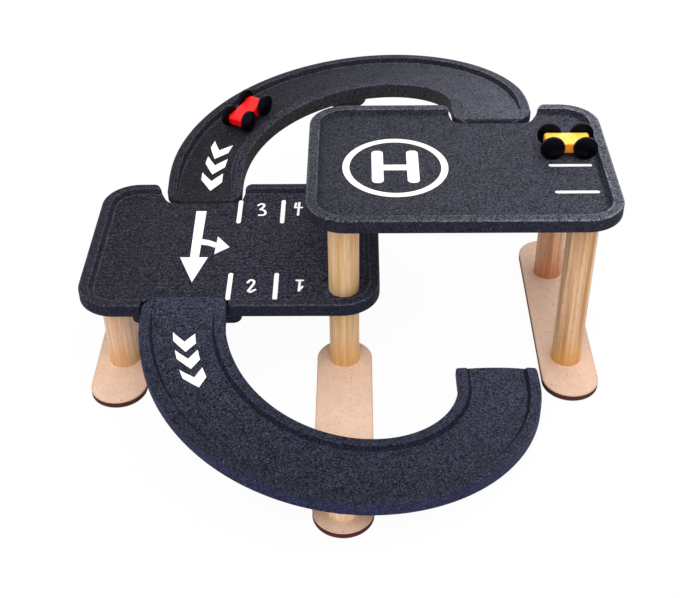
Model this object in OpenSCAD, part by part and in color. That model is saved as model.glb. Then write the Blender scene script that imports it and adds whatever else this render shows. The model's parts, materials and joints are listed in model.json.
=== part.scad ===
// Toy parking garage: two tray decks on round posts, two half-round ramps that lift off,
// four board feet and two small cars.

/* [Decks] */
// Distance between neighbouring columns of posts, left to right
column_pitch = 188.4; // [160:0.1:230]
// Distance between the front and the rear row of posts
row_pitch = 122.6; // [100:0.1:150]
// Post axis to the deck edge
post_inset = 29.3; // [26:0.1:36]
// Radius of the deck corners
deck_corner_r = 31.5; // [24:0.5:40]
// Full height of a deck, rim included
deck_h = 11.7; // [10:0.1:16]
// Height of the rim above the deck floor
rim_h = 4; // [2:0.1:5]
// Width of the rim from the outer edge to the top of its slope
rim_w = 8.2; // [6:0.1:11]
// Width of the slope on the inner side of a rim
rim_slope_w = 4.2; // [2:0.1:6]
// Rounding of the outer edges of decks and ramps
deck_edge_r = 1.8; // [0.5:0.1:2.4]
// Height of the mid deck's underside above the ground
deck_rise = 73.8; // [65:0.1:90]
// Height from one deck floor to the next
level_pitch = 80.4; // [70:0.1:95]
// Depth of the seat in a deck's underside that takes the end of a post
seat_depth = 2; // [1:0.1:3]
// Diameter of the shallow ring sunk into the mid deck's floor round a post
seat_ring_d = 39; // [30:0.5:42]
// Depth of that ring
seat_ring_depth = 0.7; // [0.3:0.1:1.2]

/* [Notches] */
// Depth of the front notch, where the lower ramp hangs
front_notch = 16.2; // [15.5:0.1:22]
// Depth of a rear notch, where the upper ramp hangs
rear_notch = 26.2; // [18:0.1:30]
// Rounding of the deck corners at the mouth of a rear notch
mouth_r = 8; // [3:0.5:9]
// Rounding of the deck corners at the mouth of the front notch
front_mouth_r = 2; // [1:0.5:3]
// Rounding of a notch's inner corner on the outside of the ramp's curve
notch_outer_r = 11; // [6:0.5:11.5]
// Rounding of a notch's inner corner on the inside of the ramp's curve
notch_inner_r = 9; // [6:0.5:11]
// Lean of a rear notch's wall on the outside of the ramp's curve, in degrees
outer_lean = 25; // [0:1:30]
// Lean of a rear notch's wall on the inside of the ramp's curve, in degrees
inner_lean = 10; // [0:1:20]
// Gap between a ramp tab and the notch round it
tab_gap = 1.5; // [0.8:0.1:2]
// Gap in plan between the front notch's pad and the posts beside it
pad_post_gap = 3.7; // [1:0.1:8]
// Distance of a rear pad's sides inward of the tab's sides
rear_pad_inset = 12; // [6:0.5:17]
// Length of a pad under the deck, inward of the notch
pad_in = 18; // [12:0.5:26]
// Length of the ledge that a pad puts under a tab
pad_out = 12; // [8:0.5:13]
// Drop of a pad below the deck's underside
pad_drop = 10; // [4:0.5:14]
// Rounding of a pad's corners
pad_corner_r = 7; // [3:0.5:9]

/* [Ramps] */
// Width of a ramp
ramp_w = 68; // [56:0.5:80]
// Gap in plan between the ramps' outer edge and the side feet
ramp_foot_gap = 3.45; // [1:0.05:12]
// Thickness of a ramp's plate under its channel
ramp_plate = 8.3; // [7:0.1:12]
// Extra thickness of the upper ramp's plate away from its tabs
upper_plate_extra = 2; // [0:0.1:3]
// Distance of the upper ramp's centre from the rear edge of the decks
upper_ring_gap = 3.4; // [1:0.1:12]
// Distance of the lower ramp's centre from the front edge of the decks
lower_ring_gap = 9; // [1:0.1:14]
// Height of a ramp tab above the deck floor that it joins
tab_proud = 2.8; // [1:0.1:5]
// Rounding of a ramp tab's corner on the outside of the curve
tab_outer_r = 16; // [8:0.5:17]
// Rounding of a ramp tab's corner on the inside of the curve
tab_inner_r = 11; // [6:0.5:13]
// Level length at a tab before the slope starts
tab_level = 14; // [13.5:0.5:20]
// Length of a ramp's high tab before its channel starts
tab_flat = 17; // [12:0.5:22]
// Extra length of the lower ramp's tab before its channel starts
lower_tab_flat = 5; // [0:0.5:10]
// Length of the upper ramp's low tab beyond the end of its channel
low_tab_flat = 6; // [3:0.5:12]
// Length of the slope that closes the end of a channel
channel_fade = 5; // [3:0.5:10]
// Depth of a channel below the level of its tab where it starts
entry_dip = 1; // [0.2:0.1:3]
// Length over which the rims rise from the level of a tab
rim_rise = 60; // [30:1:90]
// Sag of the lower ramp below an even slope, at half way
lower_sag = 8; // [0:0.1:12]
// Height of the lower ramp's floor at its ground end
ground_lip = 5.5; // [4.5:0.1:9]
// Bow of the ground end's edge
ground_bow = 2.5; // [0:0.1:6]
// Rounding of the outer corner at the ground end
ground_outer_r = 8; // [3:0.5:10]
// Rounding of the inner corner at the ground end
ground_inner_r = 2; // [1:0.5:6]
// Length over which the rims round off at the ground end
ground_fade = 5; // [3:0.5:12]
// Diameter of the boss under a ramp
boss_d = 40; // [34:0.5:44]
// Drop of the lower ramp's boss below its underside
boss_drop = 11; // [9.5:0.5:13]
// Drop of the upper ramp's boss below its underside
upper_boss_drop = 14; // [9.5:0.5:16]
// Depth of the socket in a boss
socket_depth = 8; // [5:0.5:9]
// Shift of the lower boss from the centre line to the outside
lower_boss_shift = 7; // [0:0.5:12]

/* [Posts and feet] */
// Diameter of every post
post_d = 25; // [20:0.5:29]
// Width of a foot
foot_w = 46.5; // [38:0.5:56]
// Thickness of a foot
foot_t = 6; // [5:0.1:10]
// Rounding of a foot's edges
foot_edge_r = 0.6; // [0.2:0.1:1.2]
// Post axis to the end of a side foot
side_foot_end = 49.5; // [30:0.1:60]
// Extra length of the left foot at its front end
left_foot_extra = 7; // [0:0.1:12]
// Clearance of a post in its seat
seat_gap = 0.2; // [0.1:0.05:0.5]
// Clearance between a ramp and what carries it
ramp_gap = 0.3; // [0.2:0.05:0.6]
// Clearance of a post in a boss socket
socket_gap = 0.4; // [0.3:0.05:0.8]

/* [Fasteners] */
// Diameter of a foot screw's shank
screw_d = 4; // [3:0.1:5]
// Diameter of a foot screw's head
screw_head_d = 8; // [7:0.1:10]
// Length of a foot screw in its post
screw_bite = 12; // [8:0.5:16]
// Depth of a screw head below the foot's underside
screw_sink = 0.5; // [0.2:0.1:1]
// Diameter of a dowel
dowel_d = 8; // [6:0.1:10]
// Length of a dowel in a post
dowel_bite = 14; // [8:0.5:20]
// Length of a dowel in a deck, above the post's seat
dowel_tip = 4; // [2:0.1:4.5]
// Clearance round screws and dowels
fastener_gap = 0.1; // [0.05:0.05:0.2]

/* [Cars] */
// Length of a car body
car_len = 37; // [34:0.5:50]
// Width of a car body
car_w = 18.5; // [14:0.5:26]
// Height of a car body
car_h = 9.8; // [9:0.1:14]
// Height of a car body's underside above the ground
car_lift = 3.3; // [2:0.1:4]
// Rounding of a car body's long edges
car_edge_r = 1.6; // [0.5:0.1:2.4]
// Rounding of a car body's nose and tail
car_nose_r = 2.6; // [1:0.1:3.5]
// Distance between the axles
wheelbase = 26.7; // [22:0.1:28]
// Diameter of a wheel
wheel_d = 20; // [17:0.1:22]
// Thickness of a wheel
wheel_t = 5; // [4:0.1:7]
// Radius of the dome on a wheel's outer face
wheel_dome_r = 30; // [20:1:60]
// Gap between a wheel and the car body
wheel_side_gap = 0.5; // [0.3:0.1:1.5]
// Diameter of an axle
axle_d = 4; // [3:0.1:4.5]
// Length of an axle in a wheel
axle_bite = 3; // [2:0.1:3.4]
// Running clearance of an axle in the car body
axle_gap = 0.08; // [0.05:0.01:0.1]
// Clearance of an axle in a wheel
hub_gap = 0.02; // [0.01:0.01:0.04]
// Place of the yellow car from the upper deck's right edge
yellow_car_inset = 34.2; // [32:0.1:60]
// Place of the yellow car behind the middle of the upper deck
yellow_car_y = 16.3; // [-30:0.1:30]
// Place of the red car round the upper ramp, in degrees from the high end
red_car_angle = 138.5; // [60:0.5:150]
// Place of the red car inside the upper ramp's centre line
red_car_inset = 4.1; // [0:0.1:6]
// Turn of the red car away from the upper ramp's direction, in degrees
red_car_turn = 8; // [0:0.5:10]
// Height of the yellow car's wheels above the deck floor
yellow_wheel_gap = 0.2; // [0.1:0.05:0.5]
// Height of the red car's wheels above the ramp's floor, which twists under them
red_wheel_gap = 0.65; // [0.6:0.05:1]

/* [Hidden] */
$fn = 96;

// Colours
deck_colour = [0.12, 0.12, 0.15];
post_colour = [0.84, 0.66, 0.42];
foot_colour = [0.90, 0.72, 0.58];
steel_colour = [0.72, 0.72, 0.74];
yellow_colour = [0.98, 0.78, 0.05];
red_colour = [0.88, 0.05, 0.05];
wheel_colour = [0.04, 0.04, 0.05];

// Length by which a cut runs past the face that it opens
past = 1;
// Depth by which a notch's wall runs into the circles of its round corners
corner_bite = 0.02;

// Deck outline and levels
deck_x = column_pitch + 2 * post_inset;
deck_y = row_pitch + 2 * post_inset;
mid_floor = deck_rise + deck_h - rim_h;
upper_rise = deck_rise + level_pitch;
upper_floor = mid_floor + level_pitch;

// Ramp heights and plan: the half rings just clear the side feet
ramp_half = ramp_w / 2;
ramp_r = column_pitch - foot_w / 2 - ramp_foot_gap - ramp_half;
tab_under = mid_floor + tab_proud - ramp_plate;
ledge_above_rise = tab_under - ramp_gap - deck_rise;
upper_ring_y = deck_y / 2 + upper_ring_gap;
lower_ring_y = deck_y / 2 + lower_ring_gap;
upper_straight = upper_ring_gap + rear_notch - tab_gap;
lower_straight = lower_ring_gap + front_notch - tab_gap;
half_turn = ramp_r * PI;

// Notches and the pads under them
notch_x = ramp_r;
front_pad_w = 2 * (column_pitch - ramp_r - post_d / 2 - pad_post_gap);
rear_pad_w = ramp_w - 2 * rear_pad_inset;

// The whole plan is shifted so that its bounding box is centred on the origin
front_reach = lower_ring_y + ramp_r + ramp_half;
rear_reach = upper_ring_y + ramp_r + ramp_half;
plan_y = (front_reach - rear_reach) / 2;

// Posts
front_row = plan_y - row_pitch / 2;
rear_row = plan_y + row_pitch / 2;
left_column = -column_pitch;
right_column = column_pitch;
lower_post_y = plan_y - lower_ring_y - ramp_r - lower_boss_shift;
upper_post_y = plan_y + upper_ring_y + ramp_r;
mid_seat_z = mid_floor - seat_ring_depth;

// Ramp as a list of its own sizes: straight, height at start and end, level lengths at
// start and end, sag, then for the start and for the end the length before the channel,
// the length of the channel's end slope and of the rims' rise, then the outer and inner
// corner radius at the start and at the end, the bow of the end edge, and the plate's extra
// thickness away from the tabs
upper_sizes = [
    upper_straight, upper_floor + tab_proud, mid_floor + tab_proud, tab_level, tab_level, 0,
    tab_flat, channel_fade, rim_rise, low_tab_flat, channel_fade, rim_rise,
    tab_outer_r, tab_inner_r, tab_outer_r, tab_inner_r, 0, upper_plate_extra
];
lower_sizes = [
    lower_straight, mid_floor + tab_proud, ground_lip, tab_level, 0, lower_sag,
    tab_flat + lower_tab_flat, channel_fade, rim_rise, 0, ground_fade, ground_fade,
    tab_outer_r, tab_inner_r, ground_outer_r, ground_inner_r, ground_bow, 0
];
arc_steps = 50;
corner_steps = 6;
entry_steps = 6;

// Height of the ramp floor half way and the height of its boss's underside
upper_mid_z = ramp_floor(upper_sizes, ramp_len(upper_sizes) / 2);
lower_mid_z = ramp_floor(lower_sizes, ramp_len(lower_sizes) / 2);
upper_boss_z = upper_mid_z - ramp_plate - upper_plate_extra - upper_boss_drop;
lower_boss_z = lower_mid_z - ramp_plate - boss_drop;

// Red car: place on the upper ramp and the slope there
red_path = upper_straight + ramp_r * red_car_angle * PI / 180;
red_slope = (ramp_floor(upper_sizes, red_path - 1) - ramp_floor(upper_sizes, red_path + 1)) / 2;
red_pitch = atan(red_slope);

// Length of a ramp along its centre line
function ramp_len(size) = 2 * size[0] + half_turn;

// Share of the way down the slope at distance s from the high end
function ramp_share(size, s) =
    min(1, max(0, (s - size[3]) / (ramp_len(size) - size[3] - size[4])));

// Height of the channel's floor at distance s, as it is away from the tabs
function ramp_floor(size, s) =
    let (share = ramp_share(size, s))
    size[1] + (size[2] - size[1]) * share - size[5] * sin(180 * share);

// Smooth rise from 0 to 1
function ease(t) = let (u = min(1, max(0, t))) u * u * (3 - 2 * u);

// Height of the rims at distance s above that floor, which is 0 at a tab
function rim_at(size, s) =
    rim_h * ease(s / size[8]) * ease((ramp_len(size) - s) / size[11]);

// Height of the channel's bed at distance s above that floor: a shallow dip where the channel
// starts, which is gone where the rims have their full height
function bed_at(size, s) =
    -entry_dip * (1 - rim_at(size, s) / rim_h)
    * ease((s - size[6]) / size[7]) * ease((ramp_len(size) - s - size[9]) / size[10]);

// Thickness of the plate under that floor at distance s
function plate_at(size, s) =
    ramp_plate + size[17] * ease(s / size[8]) * ease((ramp_len(size) - s) / size[11]);

// Half width at distance s on the outside and on the inside of the curve, drawn in round
// the corners of both ends
function corner_in(s, r) = s >= r ? 0 : r - sqrt(max(0, r * r - (r - s) * (r - s)));
function outer_at(size, s) =
    ramp_half - corner_in(s, size[12]) - corner_in(ramp_len(size) - s, size[14]);
function inner_at(size, s) =
    ramp_half - corner_in(s, size[13]) - corner_in(ramp_len(size) - s, size[15]);

// Angle round the ring at distance s, and the point there on the centre line
function turn_at(size, s) = 180 * min(1, max(0, (s - size[0]) / half_turn));
function path_at(size, ring_y, s) =
    let (
        turn = turn_at(size, s),
        before = min(0, s - size[0]),
        after = max(0, s - size[0] - half_turn)
    )
    [ramp_r * cos(turn), ring_y + ramp_r * sin(turn) + before - after];

// Distances of the cross-sections: close together round the end corners and where the
// channel starts, even elsewhere
function stations(size) =
    let (
        first = max(size[12], size[13]),
        last = max(size[14], size[15]),
        entry = max(first + 1, size[6] + size[7]) - first,
        even = ramp_len(size) - last - first - entry
    )
    concat(
        [for (i = [0:corner_steps - 1]) first * (1 - cos(90 * i / corner_steps))],
        [for (i = [0:entry_steps - 1]) first + entry * i / entry_steps],
        [for (i = [0:arc_steps - 1]) first + entry + even * i / arc_steps],
        [for (i = [corner_steps:-1:0]) ramp_len(size) - last * (1 - cos(90 * i / corner_steps))]
    );

// Channel cross-section as points of offset from the centre line and height above the floor
function section(size, s) =
    let (
        inner = inner_at(size, s),
        outer = outer_at(size, s),
        rim = rim_at(size, s),
        bed = bed_at(size, s),
        under = -min(plate_at(size, s), ramp_floor(size, s)),
        e = deck_edge_r,
        cut = e * (1 - cos(45)),
        near = inner - rim_w - rim_slope_w,
        far = outer - rim_w - rim_slope_w
    )
    [
        [-inner, rim - e], [-inner + cut, rim - cut], [-inner + e, rim],
        [-inner + rim_w, rim], [-near, bed], [-near / 2, bed], [0, bed], [far / 2, bed], [far, bed],
        [outer - rim_w, rim], [outer - e, rim], [outer - cut, rim - cut], [outer, rim - e],
        [outer, under + e / 2], [outer - e / 2, under], [-inner + e / 2, under], [-inner, under + e / 2]
    ];

// Place of a section point; the bow pushes the middle of the last section outwards
function section_point(size, ring_y, s, p) =
    let (
        half = p[0] > 0 ? outer_at(size, s) : inner_at(size, s),
        bow = s > ramp_len(size) - 0.001 ? size[16] * (1 - pow(p[0] / half, 2)) : 0,
        centre = path_at(size, ring_y, s + bow),
        turn = turn_at(size, s)
    )
    [centre[0] + p[0] * cos(turn), centre[1] + p[0] * sin(turn), ramp_floor(size, s) + p[1]];

// Half-ring channel swept down its slope
module ramp_sweep(size, ring_y) {
    rows = stations(size);
    count = len(rows);
    ring = len(section(size, 0));
    whole = ramp_len(size);
    skin = [for (s = rows) for (p = section(size, s)) section_point(size, ring_y, s, p)];
    start_mid = section_point(size, ring_y, 0, [0, -deck_edge_r]);
    end_mid = section_point(size, ring_y, whole, [0, -deck_edge_r]);
    start_index = count * ring;
    end_index = start_index + 1;
    last = (count - 1) * ring;
    sides = [
        for (row = [0:count - 2]) for (k = [0:ring - 1])
            let (
                a = row * ring + k,
                b = row * ring + (k + 1) % ring,
                c = a + ring,
                d = b + ring
            )
            each [[a, d, b], [a, c, d]]
    ];
    start_cap = [for (k = [0:ring - 1]) [start_index, k, (k + 1) % ring]];
    end_cap = [for (k = [0:ring - 1]) [end_index, last + (k + 1) % ring, last + k]];
    polyhedron(points = concat(skin, [start_mid, end_mid]), faces = concat(sides, start_cap, end_cap));
}

// Ramp with the boss and socket that sit on its post
module ramp(size, ring_y, mid_z, boss_z, boss_shift) {
    boss_y = ring_y + ramp_r + boss_shift;
    difference() {
        union() {
            ramp_sweep(size, ring_y);
            translate([0, boss_y, boss_z])
                cylinder(h = mid_z - ramp_plate / 2 - boss_z, d = boss_d);
        }
        translate([0, boss_y, boss_z - past])
            cylinder(h = socket_depth + past, d = post_d + 2 * socket_gap);
    }
}

// Half of a plate's cross-section, with its outer edges rounded
module edge_profile(w, h, e) {
    square([w - e, h]);
    translate([0, e]) square([w, h - 2 * e]);
    translate([w - e, e]) circle(r = e);
    translate([w - e, h - e]) circle(r = e);
}

// Full cross-section of such a plate
module plate_profile(w, h, e) {
    edge_profile(w, h, e);
    mirror([1, 0]) edge_profile(w, h, e);
}

// Plate with round corners and rounded edges, centred in plan
module plate(x, y, r, h, e) {
    corner_x = x / 2 - r;
    corner_y = y / 2 - r;
    for (sx = [-1, 1], sy = [-1, 1])
        translate([sx * corner_x, sy * corner_y, 0]) rotate_extrude() edge_profile(r, h, e);
    translate([-corner_x, 0, 0]) rotate([90, 0, 90])
        linear_extrude(2 * corner_x) plate_profile(y / 2, h, e);
    translate([0, corner_y, 0]) rotate([90, 0, 0])
        linear_extrude(2 * corner_y) plate_profile(x / 2, h, e);
}

// Board with half-round ends along Y, from y0 to y1
module board(y0, y1, w, h, e) {
    for (y = [y0 + w / 2, y1 - w / 2])
        translate([0, y, 0]) rotate_extrude() edge_profile(w / 2, h, e);
    translate([0, y1 - w / 2, 0]) rotate([90, 0, 0])
        linear_extrude(y1 - y0 - w) plate_profile(w / 2, h, e);
}

// Recess of a deck: round corners and sides that slope out to the rim's top
module tray_cut() {
    rise = rim_h + past;
    spread = rise * rim_slope_w / rim_h;
    floor_r = deck_corner_r - rim_w - rim_slope_w;
    half_x = deck_x / 2 - deck_corner_r;
    half_y = deck_y / 2 - deck_corner_r;
    for (sx = [-1, 1], sy = [-1, 1])
        translate([sx * half_x, sy * half_y, 0])
            cylinder(h = rise, r1 = floor_r, r2 = floor_r + spread);
    translate([-half_x, 0, 0]) rotate([90, 0, 90])
        linear_extrude(2 * half_x) flared(half_y + floor_r, spread, rise);
    translate([0, half_y, 0]) rotate([90, 0, 0])
        linear_extrude(2 * half_y) flared(half_x + floor_r, spread, rise);
}

// Trapezium that widens upwards
module flared(half, spread, rise) {
    polygon([[-half, 0], [half, 0], [half + spread, rise], [-half - spread, rise]]);
}

// One half of a notch's plan, from its inner edge at y = 0 out past the deck edge: a round
// inner corner, a wall that leans outwards and a rounded mouth
module notch_half(depth, corner, lean, mouth) {
    half = ramp_half + tab_gap;
    reach = corner - corner_bite;
    wall = [half - corner + reach * cos(lean), corner - reach * sin(lean)];
    back = mouth - corner_bite;
    run = depth - back - wall[1];
    centre = [wall[0] + (back + run * sin(lean)) / cos(lean), depth - back];
    top = [centre[0] - back * cos(lean), centre[1] + back * sin(lean)];
    difference() {
        union() {
            polygon([
                [0, 0], [half - corner, 0], wall, top, centre,
                [centre[0], depth + past], [0, depth + past]
            ]);
            translate([half - corner, corner]) circle(r = corner);
        }
        translate(centre) circle(r = mouth);
    }
}

// Notch of a deck, cut right through it; side is 1 at the rear and -1 at the front, and
// out is the X direction of the outside of the ramp's curve
module notch_cut(x, side, out, depth, leans, mouth) {
    translate([x, side * (deck_y / 2 - depth), -past]) rotate([0, 0, side > 0 ? 0 : 180])
        linear_extrude(deck_h + 2 * past) {
            mirror([out * side > 0 ? 0 : 1, 0]) notch_half(depth, notch_outer_r, leans[0], mouth);
            mirror([out * side > 0 ? 1 : 0, 0]) notch_half(depth, notch_inner_r, leans[1], mouth);
        }
}
module front_notch_cut(x, out) {
    notch_cut(x, -1, out, front_notch, [0, 0], front_mouth_r);
}
module rear_notch_cut(x, out) {
    notch_cut(x, 1, out, rear_notch, [outer_lean, inner_lean], mouth_r);
}

// Pad under a notch whose top is the ledge for a tab
module notch_pad(x, side, depth, w) {
    length = pad_in + pad_out;
    edge = deck_y / 2 - depth;
    translate([x, side * (edge + (pad_out - pad_in) / 2), -pad_drop])
        linear_extrude(pad_drop + ledge_above_rise) {
            square([w - 2 * pad_corner_r, length], center = true);
            square([w, length - 2 * pad_corner_r], center = true);
            for (sx = [-1, 1], sy = [-1, 1])
                translate([sx * (w / 2 - pad_corner_r), sy * (length / 2 - pad_corner_r)])
                    circle(r = pad_corner_r);
        }
}

// Seat and dowel hole for the end of a post in a deck's underside
module post_seat() {
    translate([0, 0, -past]) cylinder(h = seat_depth + past, d = post_d + 2 * seat_gap);
    cylinder(h = seat_depth + dowel_tip + fastener_gap, d = dowel_d + 2 * fastener_gap);
}

// Deck with its tray, centred in plan on its own posts
module tray_deck() {
    difference() {
        plate(deck_x, deck_y, deck_corner_r, deck_h, deck_edge_r);
        translate([0, 0, deck_h - rim_h]) tray_cut();
        for (sx = [-1, 1], sy = [-1, 1])
            translate([sx * column_pitch / 2, sy * row_pitch / 2, 0]) post_seat();
    }
}

// Round post from z0 to z1 with holes for the fasteners at its ends
module post(z0, z1, low_d, low_bite, high_d, high_bite) {
    difference() {
        translate([0, 0, z0]) cylinder(h = z1 - z0, d = post_d);
        translate([0, 0, z0 - past]) cylinder(h = low_bite + fastener_gap + past, d = low_d + 2 * fastener_gap);
        if (high_bite > 0)
            translate([0, 0, z1 - high_bite - fastener_gap])
                cylinder(h = high_bite + fastener_gap + past, d = high_d + 2 * fastener_gap);
    }
}

// Post that stands on a foot and carries a deck whose underside is at the given height
module deck_post(x, y, under) {
    color(post_colour) translate([x, y, 0])
        post(foot_t, under + seat_depth, screw_d, screw_bite, dowel_d, dowel_bite);
}

// Post between the mid deck's floor and the upper deck
module upper_post(y) {
    color(post_colour) translate([0, y, 0])
        post(mid_seat_z, upper_rise + seat_depth, dowel_d, dowel_bite, dowel_d, dowel_bite);
}

// Post under a ramp's boss
module ramp_post(y, boss_z) {
    color(post_colour) translate([0, y, 0])
        post(foot_t, boss_z + socket_depth - ramp_gap, screw_d, screw_bite, screw_d, 0);
}

// Countersunk screw up through a foot, grown by the gap where it is a hole
module foot_screw(gap) {
    cone_h = (screw_head_d - screw_d) / 2;
    translate([0, 0, screw_sink - gap]) {
        cylinder(h = cone_h, d1 = screw_head_d + 2 * gap, d2 = screw_d + 2 * gap);
        cylinder(h = foot_t + screw_bite - screw_sink + gap, d = screw_d + 2 * gap);
    }
}

// Hole for a foot screw, open below the sunk head
module screw_hole() {
    foot_screw(fastener_gap);
    translate([0, 0, -past]) cylinder(h = screw_sink + past, d = screw_head_d + 2 * fastener_gap);
}

// Foot along Y at x, from y0 to y1, with a screw hole under each of two posts
module foot(x, y0, y1, posts) {
    color(foot_colour) difference() {
        translate([x, 0, 0]) board(y0, y1, foot_w, foot_t, foot_edge_r);
        for (y = posts) translate([x, y, 0]) screw_hole();
    }
}

// Place of each foot screw
function screw_places() = concat(
    [for (x = [left_column, right_column], y = [front_row, rear_row]) [x, y]],
    [for (y = [lower_post_y, front_row, rear_row, upper_post_y]) [0, y]]
);

// Feet
module left_foot() {
    front_end = front_row - side_foot_end - left_foot_extra;
    foot(left_column, front_end, rear_row + side_foot_end, [front_row, rear_row]);
}
module right_foot() {
    foot(right_column, front_row - side_foot_end, rear_row + side_foot_end, [front_row, rear_row]);
}
module front_foot() {
    foot(0, lower_post_y - foot_w / 2, front_row + foot_w / 2, [lower_post_y, front_row]);
}
module rear_foot() {
    foot(0, rear_row - foot_w / 2, upper_post_y + foot_w / 2, [rear_row, upper_post_y]);
}

// Posts
module left_front_post() { deck_post(left_column, front_row, deck_rise); }
module left_rear_post() { deck_post(left_column, rear_row, deck_rise); }
module right_front_post() { deck_post(right_column, front_row, upper_rise); }
module right_rear_post() { deck_post(right_column, rear_row, upper_rise); }
module middle_front_lower_post() { deck_post(0, front_row, deck_rise); }
module middle_rear_lower_post() { deck_post(0, rear_row, deck_rise); }
module middle_front_upper_post() { upper_post(front_row); }
module middle_rear_upper_post() { upper_post(rear_row); }
module lower_ramp_post() { ramp_post(lower_post_y, lower_boss_z); }
module upper_ramp_post() { ramp_post(upper_post_y, upper_boss_z); }

// Decks
module mid_deck() {
    centre = -column_pitch / 2;
    notch = -notch_x - centre;
    color(deck_colour) translate([centre, plan_y, deck_rise]) difference() {
        union() {
            difference() {
                tray_deck();
                front_notch_cut(notch, -1);
                rear_notch_cut(notch, -1);
            }
            notch_pad(notch, -1, front_notch, front_pad_w);
            notch_pad(notch, 1, rear_notch, rear_pad_w);
        }
        for (sy = [-1, 1]) translate([column_pitch / 2, sy * row_pitch / 2, 0]) {
            translate([0, 0, deck_h - rim_h - seat_ring_depth])
                cylinder(h = deck_h, d = seat_ring_d);
            cylinder(h = deck_h, d = dowel_d + 2 * fastener_gap);
        }
    }
}
module upper_deck() {
    centre = column_pitch / 2;
    notch = notch_x - centre;
    color(deck_colour) translate([centre, plan_y, upper_rise]) {
        difference() {
            tray_deck();
            rear_notch_cut(notch, 1);
        }
        notch_pad(notch, 1, rear_notch, rear_pad_w);
    }
}

// Ramps: the lower one is the same form turned half round
module lower_ramp() {
    color(deck_colour) translate([0, plan_y, 0]) rotate([0, 0, 180])
        ramp(lower_sizes, lower_ring_y, lower_mid_z, lower_boss_z, lower_boss_shift);
}
module upper_ramp() {
    color(deck_colour) translate([0, plan_y, 0])
        ramp(upper_sizes, upper_ring_y, upper_mid_z, upper_boss_z, 0);
}

// Fasteners
module foot_screws() {
    color(steel_colour) for (p = screw_places()) translate([p[0], p[1], 0]) foot_screw(0);
}
module deck_dowels() {
    places = [
        for (y = [front_row, rear_row])
            each [[left_column, y, deck_rise], [0, y, upper_rise], [right_column, y, upper_rise]]
    ];
    color(post_colour) for (p = places)
        translate([p[0], p[1], p[2] + seat_depth - dowel_bite])
            cylinder(h = dowel_bite + dowel_tip, d = dowel_d);
}
module through_dowels() {
    low = deck_rise + seat_depth - dowel_bite;
    color(post_colour) for (y = [front_row, rear_row])
        translate([0, y, low]) cylinder(h = mid_seat_z + dowel_bite - low, d = dowel_d);
}

// Place of each car, with the car's nose along its own +X and the ground at its z = 0
module at_yellow_car() {
    translate([
        right_column + post_inset - yellow_car_inset,
        plan_y + yellow_car_y,
        upper_floor + yellow_wheel_gap
    ]) children();
}
module at_red_car() {
    spot = path_at(upper_sizes, upper_ring_y, red_path);
    inward = -red_car_inset / ramp_r;
    translate([
        spot[0] * (1 + inward),
        plan_y + upper_ring_y + (spot[1] - upper_ring_y) * (1 + inward),
        ramp_floor(upper_sizes, red_path)
    ])
        rotate([0, 0, red_car_angle + 90]) rotate([0, red_pitch, 0]) rotate([0, 0, red_car_turn])
            translate([0, 0, red_wheel_gap]) children();
}

// Car body: rounded block with two axle bores; its own colour comes from the caller
module car_body() {
    top = car_lift + car_h;
    difference() {
        intersection() {
            translate([0, car_w / 2, 0]) rotate([90, 0, 0]) linear_extrude(car_w)
                rounded_box(-car_len / 2, car_lift, car_len / 2, top, car_nose_r);
            translate([-car_len / 2, 0, 0]) rotate([90, 0, 90]) linear_extrude(car_len)
                rounded_box(-car_w / 2, car_lift, car_w / 2, top, car_edge_r);
        }
        for (x = [-wheelbase / 2, wheelbase / 2])
            translate([x, 0, wheel_d / 2]) rotate([90, 0, 0])
                cylinder(h = car_w + 2 * past, d = axle_d + 2 * axle_gap, center = true);
    }
}

// Rectangle between two corners with its own corners rounded
module rounded_box(x0, y0, x1, y1, r) {
    translate([x0 + r, y0]) square([x1 - x0 - 2 * r, y1 - y0]);
    translate([x0, y0 + r]) square([x1 - x0, y1 - y0 - 2 * r]);
    for (x = [x0 + r, x1 - r], y = [y0 + r, y1 - r]) translate([x, y]) circle(r = r);
}

// Axle of a car; end is 1 at the nose and -1 at the tail
module car_axle(end) {
    length = car_w + 2 * (wheel_side_gap + axle_bite);
    color(steel_colour) translate([end * wheelbase / 2, 0, wheel_d / 2]) rotate([90, 0, 0])
        cylinder(h = length, d = axle_d, center = true);
}

// Wheel with a domed outer face and a blind hole for its axle; side is 1 on the left
module car_wheel(end, side) {
    color(wheel_colour) translate([end * wheelbase / 2, side * (car_w / 2 + wheel_side_gap), wheel_d / 2])
        rotate([-90 * side, 0, 0]) difference() {
            intersection() {
                cylinder(h = wheel_t, d = wheel_d);
                translate([0, 0, wheel_t - wheel_dome_r]) sphere(r = wheel_dome_r);
            }
            translate([0, 0, -past]) cylinder(h = axle_bite + hub_gap + past, d = axle_d + 2 * hub_gap);
        }
}

// Yellow car
module yellow_car_body() { at_yellow_car() color(yellow_colour) car_body(); }
module yellow_front_axle() { at_yellow_car() car_axle(1); }
module yellow_rear_axle() { at_yellow_car() car_axle(-1); }
module yellow_front_left_wheel() { at_yellow_car() car_wheel(1, 1); }
module yellow_front_right_wheel() { at_yellow_car() car_wheel(1, -1); }
module yellow_rear_left_wheel() { at_yellow_car() car_wheel(-1, 1); }
module yellow_rear_right_wheel() { at_yellow_car() car_wheel(-1, -1); }

// Red car
module red_car_body() { at_red_car() color(red_colour) car_body(); }
module red_front_axle() { at_red_car() car_axle(1); }
module red_rear_axle() { at_red_car() car_axle(-1); }
module red_front_left_wheel() { at_red_car() car_wheel(1, 1); }
module red_front_right_wheel() { at_red_car() car_wheel(1, -1); }
module red_rear_left_wheel() { at_red_car() car_wheel(-1, 1); }
module red_rear_right_wheel() { at_red_car() car_wheel(-1, -1); }

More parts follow.
